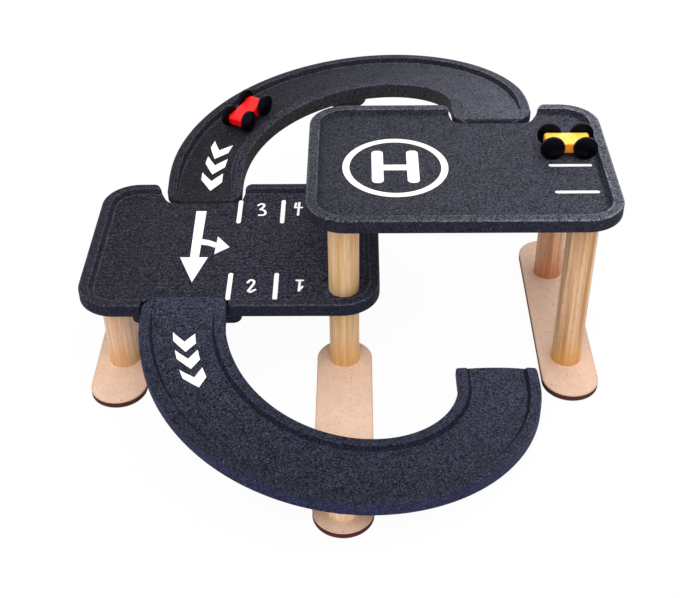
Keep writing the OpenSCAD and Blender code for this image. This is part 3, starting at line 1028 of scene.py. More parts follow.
class FormTree:
    """A Geometry Nodes tree with named inputs."""

    KINDS = {
        float: "NodeSocketFloat", int: "NodeSocketInt", "material": "NodeSocketMaterial",
        "object": "NodeSocketObject",
    }

    def __init__(self, name: str, inputs: dict) -> None:
        """Starts the tree.

        Args:
            name: Name of the tree.
            inputs: Kind of each named input.
        """
        self.tree = bpy.data.node_groups.new(name, "GeometryNodeTree")
        self.graph = Graph(self.tree)
        self.keys: dict[str, str] = {}
        self.tree.interface.new_socket("Geometry", in_out="INPUT", socket_type="NodeSocketGeometry")
        self.tree.interface.new_socket("Geometry", in_out="OUTPUT", socket_type="NodeSocketGeometry")
        for key, kind in inputs.items():
            made = self.tree.interface.new_socket(key, in_out="INPUT", socket_type=self.KINDS[kind])
            self.keys[key] = made.identifier
        self.entry = self.tree.nodes.new("NodeGroupInput")

    def __getitem__(self, key: str) -> Wire:
        """A named input as a wire."""
        return Wire(self.graph, self.entry.outputs[key])

    def close(self, geometry: Wire) -> None:
        """Ends the tree with plain geometry in its material.

        Args:
            geometry: Geometry that the tree gives.
        """
        real = self.graph.add("GeometryNodeRealizeInstances", inputs={"Geometry": geometry})
        inputs = {"Geometry": real, "Material": self["Material"]}
        done = self.graph.add("GeometryNodeSetMaterial", inputs=inputs)
        self.graph.node("NodeGroupOutput", inputs={"Geometry": done})

    def form(self, piece: bpy.types.Object, values: dict) -> bpy.types.Object:
        """Runs the tree on a piece and keeps the plain result.

        Args:
            piece: The piece to form.
            values: Value of each named input.

        Returns:
            The formed piece.
        """
        step = piece.modifiers.new(self.tree.name, "NODES")
        step.node_group = self.tree
        for key, value in values.items():
            step[self.keys[key]] = value
        return plain_mesh(piece)


class RampBend(FormTree):
    """Bends a straight piece round a half ring and down its slope.

    In the straight piece X runs across the ramp to the outside, Y is the distance from
    the high end, and Z is the height over the bed of the ramp's channel.
    """

    SIZES = (
        "Radius", "Straight", "Ring", "Side", "Plan", "High", "Low", "Level High", "Level Low", "Sag",
        "Dip", "Fade", "Flat High", "Flat Low", "Rise High", "Rise Low",
    )

    def __init__(self) -> None:
        """Writes the tree."""
        inputs = {key: float for key in self.SIZES} | {"Cuts": int, "Material": "material"}
        super().__init__("bend_round_ramp", inputs)
        g = self.graph
        across, along, height = g.axes(g.add("GeometryNodeInputPosition"))
        straight, radius = self["Straight"], self["Radius"]
        half_turn = radius * math.pi
        into_turn = along - straight
        turn = (into_turn / half_turn).share() * math.pi
        run = into_turn.low(0.0) - (into_turn - half_turn).high(0.0)
        reach = radius + across
        whole = 2 * straight + half_turn
        slope = whole - self["Level High"] - self["Level Low"]
        share = ((along - self["Level High"]) / slope).share()
        high, low = self["High"], self["Low"]
        floor = high + (low - high) * share - self["Sag"] * (share * math.pi).sin()
        left, fade = whole - along, self["Fade"]
        rise = along.ease(0.0, self["Rise High"]) * left.ease(0.0, self["Rise Low"])
        entry = (along - self["Flat High"]).ease(0.0, fade) * (left - self["Flat Low"]).ease(0.0, fade)
        level = floor - self["Dip"] * entry * (1 - rise) + height
        side = self["Side"]
        x = side * (reach * turn.cos())
        y = self["Plan"] + side * (self["Ring"] + reach * turn.sin() + run)
        place = g.add("ShaderNodeCombineXYZ", inputs={0: x, 1: y, 2: level.high(0.0)})
        fine = g.add("GeometryNodeSubdivideMesh", inputs={"Mesh": self["Geometry"], "Level": self["Cuts"]})
        self.close(g.add("GeometryNodeSetPosition", inputs={"Geometry": fine, "Position": place}))


class ScatterTree(FormTree):
    """Puts a copy of one object on every point of a piece."""

    def __init__(self) -> None:
        """Writes the tree."""
        super().__init__("copies_on_points", {"Object": "object", "Material": "material"})
        g = self.graph
        pattern = g.add("GeometryNodeObjectInfo", inputs={"Object": self["Object"]}, out="Geometry")
        inputs = {"Points": self["Geometry"], "Instance": pattern}
        self.close(g.add("GeometryNodeInstanceOnPoints", inputs=inputs))


@dataclass(frozen=True)
class Rim:
    """Sizes that the rims of decks and ramps share.

    The outer edge is rounded in steps, the first of which keep the dark skin, partly painted shade, and the
    rest of which are pale as a painted highlight. The lip is the slope on the inner side, as places in slope
    widths from its top and shares of the rim's height there. Its wall, dark with painted shade, lies between
    two of those places, and its foot beyond; the rest of the lip is pale as a painted highlight.
    """

    height: float = 4.0
    width: float = 8.2
    slope: float = 4.2
    edge: float = 1.8
    edge_steps: int = 5
    dark_steps: int = 2
    lip: tuple[Point2, ...] = (
        (-0.15, 1.0), (0.0, 0.985), (0.12, 0.93), (0.25, 0.8),
        (0.62, 0.12), (0.75, 0.05), (1.0, 0.015), (1.2, 0.0),
    )
    wall: Point2 = (0.12, 0.75)
    foot_steps: int = 2

    @property
    def lip_kinds(self) -> list[Face]:
        """Kind of face between each place on the lip and the next.

        Returns:
            The kinds from the top of the lip to its foot.
        """
        start, end = self.wall
        middles = [(a + b) / 2 for (a, _), (b, _) in zip(self.lip, self.lip[1:])]
        return [Face.WALL if start <= middle < end else Face.EDGE for middle in middles]


@dataclass(frozen=True)
class Notch:
    """A notch in a deck's edge, with the pad under it that makes a ledge for a ramp tab.

    The outside of the ramp's curve lies along X in the direction of the sign that is given.
    Pairs hold the size on the outside and on the inside of that curve.
    """

    x: float
    side: Side
    out: int
    depth: float
    pad_width: float
    leans: Point2
    mouth: float
    corners: Point2 = (11.0, 9.0)
    half: float = 35.5
    pad_in: float = 18.0
    pad_out: float = 12.0
    pad_corner_r: float = 7.0
    pad_edge: float = 1.2
    pad_steps: int = 8
    overlap: float = 0.02

    def half_plan(self, number: int, past: float = 4.0, steps: int = 10) -> list[Point2]:
        """Outline of one half of the cut.

        Args:
            number: 0 for the outside and 1 for the inside of the ramp's curve.
            past: How far the cut runs past the deck's edge.
            steps: Steps round each corner.

        Returns:
            Points from the middle of the inner edge, at y = 0, out past the deck.
        """
        corner, lean, mouth = self.corners[number], math.radians(self.leans[number]), self.mouth
        wall_x = self.half - corner + corner * math.cos(lean)
        run = self.depth - mouth - corner + corner * math.sin(lean)
        middle_x = wall_x + (mouth + run * math.sin(lean)) / math.cos(lean)
        middle_y = self.depth - mouth + self.overlap
        line = [(0.0, 0.0)]
        sweep = math.pi / 2 - lean
        for k in range(steps + 1):
            a = sweep * k / steps - math.pi / 2
            line.append((self.half - corner + corner * math.cos(a), corner + corner * math.sin(a)))
        for k in range(steps + 1):
            a = math.pi / 2 + sweep * (1 - k / steps)
            line.append((middle_x + mouth * math.cos(a), middle_y + mouth * math.sin(a)))
        return line + [(middle_x, self.depth + past)]

    def plan(self) -> list[Point2]:
        """Counterclockwise plan of the cut, with Y out of the deck.

        Returns:
            The plan's points.
        """
        order = (0, 1) if self.out * self.side.value > 0 else (1, 0)
        right, left = (self.half_plan(number) for number in order)
        return right + [(-x, y) for x, y in reversed(left[1:])]


@dataclass
class Deck:
    """A tray deck with a rim, round corners, notches and pads."""

    node: str
    centre_x: float
    rise: float
    notches: tuple[Notch, ...]
    finishes: tuple[Finish, ...]
    sunk_rings: tuple[Point2, ...] = ()
    sunk_ring_r: float = 19.5
    sunk_depth: float = 0.7
    centre_y: float = MIDDLE_Y
    length: float = 247.0
    width: float = 181.2
    height: float = 11.7
    corner_r: float = 31.5
    notch_edge: float = 0.7
    ledge: float = 1.9
    pad_drop: float = 10.0
    cut_past: float = 5.0
    # Finish of the lip's foot: pale as a painted highlight, or dark as painted shade.
    wall_foot: Face = Face.EDGE
    rim: Rim = Rim()

    @property
    def floor(self) -> float:
        """Height of the deck's floor over the ground."""
        return self.rise + self.height - self.rim.height

    def profile(self) -> tuple[list[Point2], list[Face]]:
        """Section of the deck from its underside over the rim to its floor.

        Returns:
            Inset and height of each loop of the skin, and the kinds of face between them.
        """
        rim = self.rim
        floor = self.height - rim.height
        steps, dark, foot = rim.edge_steps, rim.dark_steps, rim.foot_steps
        under = [(rim.edge * p, rim.edge * q) for p, q in quarter(steps)]
        over = [(inset, self.height - level) for inset, level in reversed(under)]
        lip = [(rim.width + rim.slope * u, floor + rim.height * share) for u, share in rim.lip]
        # The outer edge's first steps keep the dark skin, partly painted shade; the next are pale, a painted
        # highlight.
        kinds = [Face.SKIN] * (steps + 1 + dark) + [Face.EDGE] * (steps - dark) + [Face.RIM]
        kinds += rim.lip_kinds[:-foot] + [self.wall_foot] * foot
        return under + over + lip, kinds

    def tray(self) -> Shape:
        """The deck before its notches are cut, centred in plan on the origin.

        Returns:
            The tray.
        """
        half_x, half_y = self.length / 2, self.width / 2
        rows, kinds = self.profile()
        loops = [raised(round_block(half_x, half_y, self.corner_r, inset), level) for inset, level in rows]
        return Shape().loft(loops, kinds, (Face.SKIN, Face.TOP))

    def notch_cutter(self, notch: Notch) -> Shape:
        """The solid that a notch takes out of the deck.

        Args:
            notch: The notch.

        Returns:
            The solid.
        """
        side = notch.side.value
        edge = self.width / 2 - notch.depth
        plan = [(notch.x - self.centre_x + side * x, side * (edge + y)) for x, y in notch.plan()]
        loops = [raised(plan, level) for level in (-self.cut_past, self.height + self.cut_past)]
        return Shape().loft(loops, [Face.SKIN])

    def ring_cutter(self, spot: Point2) -> Shape:
        """The shallow disc that is sunk into the floor round a post.

        Args:
            spot: Place of the post in plan.

        Returns:
            The disc.
        """
        levels = (self.height - self.rim.height - self.sunk_depth, self.height + self.cut_past)
        # The disc's wall takes the pale edge finish, a painted highlight.
        disc = Shape().loft([circle(self.sunk_ring_r, level) for level in levels], [Face.EDGE])
        return Shape().put(disc, (spot[0] - self.centre_x, spot[1] - self.centre_y, 0.0))

    def pad(self, notch: Notch) -> Shape:
        """The pad under a notch, whose top is the ledge.

        Args:
            notch: The notch.

        Returns:
            The pad.
        """
        half_x, half_y = notch.pad_width / 2, (notch.pad_in + notch.pad_out) / 2
        edge, corner_r, steps = notch.pad_edge, notch.pad_corner_r, notch.pad_steps
        rows = [(edge * p, -self.pad_drop + edge * q) for p, q in quarter()]
        rows += [(0.0, self.ledge - edge / 2), (edge / 2, self.ledge)]
        loops = [raised(round_block(half_x, half_y, corner_r, inset, steps), z) for inset, z in rows]
        middle = self.width / 2 - notch.depth + (notch.pad_out - notch.pad_in) / 2
        block = Shape().loft(loops, [Face.SKIN] * len(rows), (Face.SKIN, Face.TOP))
        return Shape().put(block, (notch.x - self.centre_x, notch.side.value * middle, 0.0))

    def build(self) -> None:
        """Makes the deck and settles it on the garage."""
        place = (self.centre_x, self.centre_y, self.rise)

        def made(shape: Shape, name: str) -> bpy.types.Object:
            """A shape of this deck as a piece at its place."""
            return Shape().put(shape, place).piece(name, *self.finishes)

        piece = made(self.tray(), f"{self.node}_tray")
        cut(piece, [made(self.notch_cutter(n), f"notch_{i}") for i, n in enumerate(self.notches)])
        soften(piece, self.notch_edge)
        cut(piece, [made(self.ring_cutter(spot), f"ring_{i}") for i, spot in enumerate(self.sunk_rings)])
        settle(smooth(piece), "garage", [self.node])
        for number, notch in enumerate(self.notches):
            pad = made(self.pad(notch), f"{self.node}_pad_{number}")
            settle(smooth(pad), "garage")


def ease(value: float) -> float:
    """Smooth rise from 0 to 1."""
    u = min(1.0, max(0.0, value))
    return u * u * (3 - 2 * u)


def round_drop(distance: float, r: float) -> float:
    """How far a round edge of radius r lies below its full reach at a distance from its end."""
    return 0.0 if distance >= r else r - math.sqrt(max(0.0, r * r - (r - distance) ** 2))


@dataclass(frozen=True)
class RampEnd:
    """One end of a ramp: its level run, the tab before the channel and its round corners."""

    level: float
    flat: float
    rise: float
    outer_r: float
    inner_r: float
    edge: float


@dataclass
class Ramp:
    """A half-round channel between two levels, with rims that rise from its tabs."""

    node: str
    side: Side
    straight: float
    ring: float
    high: float
    low: float
    sag: float
    high_end: RampEnd
    low_end: RampEnd
    bow: float
    boss_under: float
    boss_over: float
    boss_shift: float
    finishes: tuple[Finish, ...]
    boss_r: float = 20.0
    plate_extra: float = 0.0
    radius: float = RAMP_RADIUS
    plan: float = MIDDLE_Y
    half: float = 34.0
    plate: float = 8.3
    dip: float = 1.0
    fade: float = 5.0
    bow_run: float = 12.0
    dark_end: float = 0.4
    least_slope: float = 0.08
    lip_gap: float = 0.5
    under_edge: float = 0.5
    under_round: float = 0.3
    boss_edge: float = 1.0
    boss_steps: int = 72
    socket_r: float = 12.9
    socket_edge: float = 0.6
    socket_depth: float = 8.0
    cuts: int = 150
    end_cuts: int = 12
    fade_cuts: int = 6
    bed_cuts: int = 6
    closest: float = 0.12
    smooth_below: float = 50.0
    rim: Rim = Rim()

    @property
    def length(self) -> float:
        """Length along the centre line."""
        return 2 * self.straight + math.pi * self.radius

    @property
    def post_y(self) -> float:
        """Place of the ramp's boss and post along Y."""
        return self.plan + self.side.value * (self.ring + self.radius + self.boss_shift)

    def bend_values(self, cuts: int, finish: Finish) -> dict:
        """Inputs of the bend for this ramp, in metres.

        Args:
            cuts: How often the faces are divided.
            finish: Finish of the piece.

        Returns:
            The value of each input.
        """
        sizes = {
            "Radius": self.radius, "Straight": self.straight, "Ring": self.ring, "Plan": self.plan,
            "High": self.high, "Low": self.low, "Level High": self.high_end.level,
            "Level Low": self.low_end.level, "Sag": self.sag, "Dip": self.dip, "Fade": self.fade,
            "Flat High": self.high_end.flat, "Flat Low": self.low_end.flat,
            "Rise High": self.high_end.rise, "Rise Low": self.low_end.rise,
        }
        values = {key: size * MM for key, size in sizes.items()}
        return values | {"Side": float(self.side.value), "Cuts": cuts, "Material": finish.material()}

    def stations(self) -> list[float]:
        """Distances of the cross-sections: close at both ends, even between.

        Returns:
            The distances from the high end.
        """
        marks = [self.length * k / self.cuts for k in range(1, self.cuts)]
        fades = [self.fade * k / self.fade_cuts for k in range(self.fade_cuts + 1)]
        for end, start, way in ((self.high_end, 0.0, 1), (self.low_end, self.length, -1)):
            r = max(end.outer_r, end.inner_r)
            marks += [start + way * r * share for _, share in quarter(self.end_cuts)]
            marks += [start + way * (end.flat + fade) for fade in fades]
        marks.sort()
        kept = [0.0] + [b for a, b in zip(marks, marks[1:]) if b - a > self.closest]
        kept[-1] = self.length
        return kept

    def rise(self, s: float) -> float:
        """Share of the full rim height at a distance."""
        return ease(s / self.high_end.rise) * ease((self.length - s) / self.low_end.rise)

    def half_at(self, s: float, side: int) -> float:
        """Half width at a distance, on the outside (1) or the inside (-1) of the curve."""
        ends = ((s, self.high_end), (self.length - s, self.low_end))
        return self.half - sum(round_drop(d, end.outer_r if side > 0 else end.inner_r) for d, end in ends)

    def dip_at(self, s: float) -> float:
        """Depth of the channel's bed below the level of the tabs at a distance."""
        high, low = s - self.high_end.flat, self.length - s - self.low_end.flat
        return self.dip * ease(high / self.fade) * ease(low / self.fade) * (1 - self.rise(s))

    def wall(self, s: float) -> float:
        """Height of the rims over the channel's bed at a distance."""
        return self.rim.height * self.rise(s) + self.dip_at(s)

    def section(self, s: float) -> list[Point2]:
        """Offset and height of the channel's upper side.

        Args:
            s: Distance from the high end.

        Returns:
            Points from the inside of the curve to the outside.
        """
        edge, wall = self.rim.edge, self.wall(s)
        corner = quarter(self.rim.edge_steps)[::-1]
        slope = self.rim.slope * max(self.least_slope, wall / self.rim.height)
        lip = [(self.half - self.rim.width - slope * u, wall * share) for u, share in self.rim.lip]
        sides = []
        for sign in (-1, 1):
            half = self.half_at(s, sign)
            side = [(sign * (half - edge * p), wall - edge * q) for p, q in corner]
            tight = sign * min(1.0, (half - edge - self.lip_gap) / lip[0][0])
            sides.append(side + [(tight * x, z) for x, z in lip])
        first, last = sides[0][-1][0], sides[1][-1][0]
        between = [(first + (last - first) * k / self.bed_cuts, 0.0) for k in range(1, self.bed_cuts)]
        return sides[0] + between + sides[1][::-1]

    def straight_channel(self) -> Shape:
        """The channel before it is bent.

        Returns:
            The channel with closed ends.
        """
        loops = []
        stations = self.stations()
        for s in stations:
            drop = round_drop(s, self.high_end.edge) + round_drop(self.length - s, self.low_end.edge)
            upper = self.section(s)
            bow = self.bow * max(0.0, (s - self.length + self.bow_run) / self.bow_run)
            plate = self.plate + self.plate_extra * self.rise(s)
            under = self.dip_at(s) - plate
            loop, below = [], []
            for x, z in upper:
                half = upper[-1][0] if x > 0 else -upper[0][0]
                along = s + bow * (1 - (x / half) ** 2)
                lift = max(0.0, self.under_edge * self.rim.edge - (half - abs(x)))
                loop.append((x, along, z - drop))
                below.append((x, along, under + lift + self.under_round * drop))
            loops.append(loop + below[::-1])
        skin = Shape().loft(loops, caps=None)
        skin.kinds = [
            self.kind(loops[row], k, (a + b) / 2)
            for row, (a, b) in enumerate(zip(stations, stations[1:]))
            for k in range(len(loops[0]))
        ]
        return self.capped(skin, len(loops[0]))

    def kind(self, loop: Sequence[Point3], k: int, s: float) -> Face:
        """Kind of the face between two points of a loop.

        Args:
            loop: Loop round the channel.
            k: Number of the first point.
            s: Distance from the high end.

        Returns:
            The kind of face.
        """
        rim, last = self.rim, len(loop) // 2 - 1
        if k >= last:
            return Face.SKIN
        from_side = min(k, last - 1 - k)
        # Side edges keep the dark skin, partly painted shade, on their first steps, and are pale as a
        # painted highlight beyond.
        if from_side < rim.edge_steps:
            return Face.EDGE if from_side >= rim.dark_steps else Face.SKIN
        near_end = min(s / self.high_end.edge, (self.length - s) / self.low_end.edge)
        if near_end < 1:
            return Face.TOP if near_end > self.dark_end else Face.SKIN
        on_lip = from_side - rim.edge_steps - 1
        on_tab = not self.high_end.flat < s < self.length - self.low_end.flat
        if on_tab or on_lip >= len(rim.lip_kinds):
            return Face.TOP
        return Face.RIM if on_lip < 0 else rim.lip_kinds[on_lip]

    @staticmethod
    def capped(skin: Shape, count: int) -> Shape:
        """Closes both ends of the channel with upright strips.

        Args:
            skin: Skin of the channel.
            count: Number of points in a loop.

        Returns:
            The skin.
        """
        last = len(skin.points) - count
        for k in range(count // 2 - 1):
            other = count - 1 - k
            skin.face((other, other - 1, k + 1, k), Face.SKIN)
            skin.face((last + k, last + k + 1, last + other - 1, last + other), Face.SKIN)
        return skin

    def boss(self) -> Shape:
        """The boss under the ramp with the socket for its post.

        Returns:
            The boss at its place.
        """
        under, edge = self.boss_under, self.boss_edge
        rows = [(self.boss_r, self.boss_over)]
        rows += [(self.boss_r - edge * q, under + edge * p) for p, q in quarter()]
        rows += [(self.socket_r + self.socket_edge, under), (self.socket_r, under + self.socket_edge)]
        rows += [(self.socket_r, under + self.socket_depth)]
        loops = [circle(r, level, self.boss_steps) for r, level in rows]
        made = Shape().loft(loops, [Face.SKIN] * len(rows), (Face.SKIN, Face.SKIN))
        made.faces = [tuple(reversed(face)) for face in made.faces]
        return Shape().put(made, (0.0, self.post_y, 0.0))

    def build(self, bend: RampBend) -> None:
        """Makes the ramp and settles it on its own body.

        Args:
            bend: Tree that bends the channel.
        """
        channel = self.straight_channel()
        piece = channel.piece(f"{self.node}_channel", *self.finishes)
        bend.form(piece, self.bend_values(0, self.finishes[Face.TOP]))
        channel.paint(piece, self.finishes)
        settle(smooth(piece, self.smooth_below), self.node, [self.node])
        boss = self.boss().piece(f"{self.node}_boss", *self.finishes)
        settle(smooth(boss), self.node)


class PrintSheet:
    """Flat marks that are joined into one thin sheet."""

    INSIDE_ONLY = 1
    CLOSEST = 1e-4

    def __init__(self) -> None:
        """Starts with no marks."""
        self.areas: list[list[Point2]] = []

    def area(self, points: Sequence[Point2]) -> "PrintSheet":
        """Adds a filled outline."""
        self.areas.append(list(points))
        return self

    def line(self, points: Sequence[Point2], width: float, steps: int = 8) -> "PrintSheet":
        """Adds a line with round ends and joints.

        Args:
            points: Points that it passes.
            width: Its width.
            steps: Steps round each end.

        Returns:
            This sheet.
        """
        r = width / 2
        for (x0, y0), (x1, y1) in zip(points, points[1:]):
            way = math.atan2(y1 - y0, x1 - x0)
            turns = [way - math.pi / 2 + math.pi * k / steps for k in range(steps + 1)]
            far = [(x1 + r * math.cos(a), y1 + r * math.sin(a)) for a in turns]
            near = [(x0 - r * math.cos(a), y0 - r * math.sin(a)) for a in turns]
            self.areas.append(far + near)
        return self

    def ring(self, centre: Point2, outer: Point2, width: float, steps: int = 96) -> "PrintSheet":
        """Adds a flat oval ring.

        Args:
            centre: Its middle.
            outer: Half sizes of its outer edge.
            width: Its width.
            steps: Steps round it.

        Returns:
            This sheet.
        """
        spots = [(math.cos(TURN * k / steps), math.sin(TURN * k / steps)) for k in range(steps)]
        for (ca, sa), (cb, sb) in zip(spots, spots[1:] + spots[:1]):
            corners = ((0.0, ca, sa), (0.0, cb, sb), (width, cb, sb), (width, ca, sa))
            self.areas.append([
                (centre[0] + (outer[0] - inset) * c, centre[1] + (outer[1] - inset) * s)
                for inset, c, s in corners
            ])
        return self

    def block(self, low: Point2, high: Point2, radius: float, steps: int = 6) -> "PrintSheet":
        """Adds a rectangle with round corners.

        Args:
            low: Its corner with the least X and Y.
            high: The opposite corner.
            radius: Radius of the corners.
            steps: Steps round each corner.

        Returns:
            This sheet.
        """
        half = ((high[0] - low[0]) / 2, (high[1] - low[1]) / 2)
        middle = ((high[0] + low[0]) / 2, (high[1] + low[1]) / 2)
        outline = round_block(*half, radius, 0.0, steps)
        self.areas.append([(middle[0] + x, middle[1] + y) for x, y in outline])
        return self

    def shape(self, under: float, over: float) -> Shape:
        """The marks joined into one sheet.

        Args:
            under: Height of its underside.
            over: Height of its upper side.

        Returns:
            The closed sheet.
        """
        points, faces = [], []
        for area in self.areas:
            faces.append(list(range(len(points), len(points) + len(area))))
            points.extend(Vector(p) for p in area)
        joined = delaunay_2d_cdt(points, [], faces, self.INSIDE_ONLY, self.CLOSEST)
        found, _, triangles, _, _, origins = joined
        made = Shape()
        top = made.add((p.x, p.y, over) for p in found)
        low = made.add((p.x, p.y, under) for p in found)
        edges: set[tuple[int, int]] = set()
        for triangle, origin in zip(triangles, origins):
            if not origin:
                continue
            a, b, c = triangle
            if (found[b] - found[a]).cross(found[c] - found[a]) < 0:
                a, b, c = a, c, b
            made.face((top + a, top + b, top + c))
            made.face((low + a, low + c, low + b))
            edges.update(((a, b), (b, c), (c, a)))
        for a, b in sorted(edges):
            if (b, a) not in edges:
                made.face((low + a, low + b, top + b, top + a))
        return made.used()


def flowing(points: Sequence[Point2], steps: int = 6) -> list[Point2]:
    """A smooth line through the points.

    Args:
        points: Points that it passes.
        steps: Steps between two points.

    Returns:
        The points of the smooth line.
    """

    def between(p: float, q: float, r: float, s: float, t: float) -> float:
        """Value on a smooth way from one point to the next.

        Args:
            p: Value at the point before.
            q: Value at the start.
            r: Value at the end.
            s: Value at the point behind.
            t: Share of the way.

        Returns:
            The value there.
        """
        square = 2 * p - 5 * q + 4 * r - s
        cube = 3 * q - p - 3 * r + s
        return 0.5 * (2 * q + (r - p) * t + square * t * t + cube * t ** 3)

    ends = [points[0], *points, points[-1]]
    line = [points[0]]
    for four in zip(ends, ends[1:], ends[2:], ends[3:]):
        for k in range(1, steps + 1):
            line.append(tuple(between(*values, k / steps) for values in zip(*four)))
    return line


@dataclass
class DeckPrints:
    """White marks on the floors of both decks."""

    finish: Finish
    mid_floor: float
    upper_floor: float
    sink: float = 0.05
    film: float = 0.15
    line_width: float = 3.9
    car_line_width: float = 3.6
    digit_width: float = 2.1
    ring_width: float = 5.7
    letter_corner_r: float = 4.0

    def landing_place(self) -> PrintSheet:
        """Ring with a letter for a helicopter, and two lines for cars.

        Returns:
            The marks of the upper deck.
        """
        sheet = PrintSheet().ring((42.1, -3.4), (43.0, 44.6), self.ring_width)
        for left, right in ((22.9, 32.4), (51.5, 61.2)):
            sheet.block((left, -27.4), (right, 22.0), self.letter_corner_r)
        sheet.area(((31.0, -8.4), (53.0, -8.4), (53.0, 0.0), (31.0, 0.0)))
        for y in (-2.3, -42.0):
            sheet.line(((168.2, y), (199.8, y)), self.car_line_width)
        return sheet

    def way_arrows(self) -> PrintSheet:
        """Long arrow to the lower ramp with a branch to the bays.

        Returns:
            The arrows of the mid deck.
        """
        sheet = PrintSheet()
        sheet.area(((-132.4, 53.8), (-130.6, -17.5), (-123.0, -17.5), (-123.3, 53.8)))
        sheet.area(((-139.0, -16.3), (-125.4, -51.1), (-115.5, -16.3)))
        top = flowing(((-124.5, 10.6), (-117.0, 8.8), (-109.8, 4.8)))
        low = flowing(((-110.6, -2.4), (-117.0, 1.0), (-124.5, 2.6)))
        sheet.area(top[::-1] + low[::-1])
        sheet.area(((-110.5, -11.8), (-98.3, -1.6), (-109.6, 14.3)))
        return sheet

    def bays(self) -> PrintSheet:
        """Four bay lines and four bay numbers.

        Returns:
            The bays of the mid deck.
        """
        sheet = PrintSheet()
        for x, far, near in (
            (-93.5, 69.0, 36.4), (-55.1, 69.3, 36.1), (-94.0, -40.6, -73.2), (-55.9, -40.9, -73.5),
        ):
            sheet.line(((x, near), (x, far)), self.line_width)
        three = ((-77.6, 62.9), (-75.0, 65.2), (-72.3, 63.3), (-73.2, 59.3), (-75.5, 56.2))
        three_low = ((-75.5, 56.2), (-72.3, 54.8), (-70.5, 50.9), (-71.9, 47.5), (-76.1, 47.1))
        two = (
            (-79.3, -51.9), (-77.1, -48.6), (-74.5, -49.6), (-74.1, -53.1), (-75.7, -57.3), (-78.1, -63.1),
        )
        for curve in (three, three_low):
            sheet.line(flowing(curve), self.digit_width)
        sheet.line(flowing(two) + [(-76.1, -64.8), (-72.5, -61.6)], self.digit_width)
        for stroke in (
            ((-43.8, 65.9), (-44.6, 59.0), (-38.3, 59.0)),
            ((-40.9, 66.9), (-41.5, 47.0)),
            ((-39.1, -49.2), (-33.9, -49.3)),
            ((-36.3, -49.2), (-36.8, -63.2), (-34.1, -57.7)),
        ):
            sheet.line(stroke, self.digit_width)
        return sheet

    def build(self) -> None:
        """Makes the marks and settles them on the garage."""
        sheets = (
            ("landing_print", self.landing_place(), self.upper_floor),
            ("arrow_print", self.way_arrows(), self.mid_floor),
            ("bay_print", self.bays(), self.mid_floor),
        )
        for name, sheet, floor in sheets:
            piece = sheet.shape(floor - self.sink, floor + self.film).piece(name, self.finish)
            settle(piece, "garage")


@dataclass
class RampPrint:
    """Three chevrons that point down a ramp."""

    ramp: Ramp
    finish: Finish
    tips: tuple[Point2, ...]
    outline: tuple[Point2, ...]
    sink: float = 0.05
    film: float = 0.18
    cuts: int = 3

    def build(self, bend: RampBend) -> None:
        """Makes the chevrons, drapes them over the ramp and settles them on it.

        Args:
            bend: Tree that bends the chevrons.
        """
        sheet = PrintSheet()
        for s, across in self.tips:
            sheet.area([(across + x, s + y) for x, y in self.outline])
        piece = sheet.shape(-self.sink, self.film).piece(f"{self.ramp.node}_chevrons", self.finish)
        bend.form(piece, self.ramp.bend_values(self.cuts, self.finish))
        settle(piece, self.ramp.node)


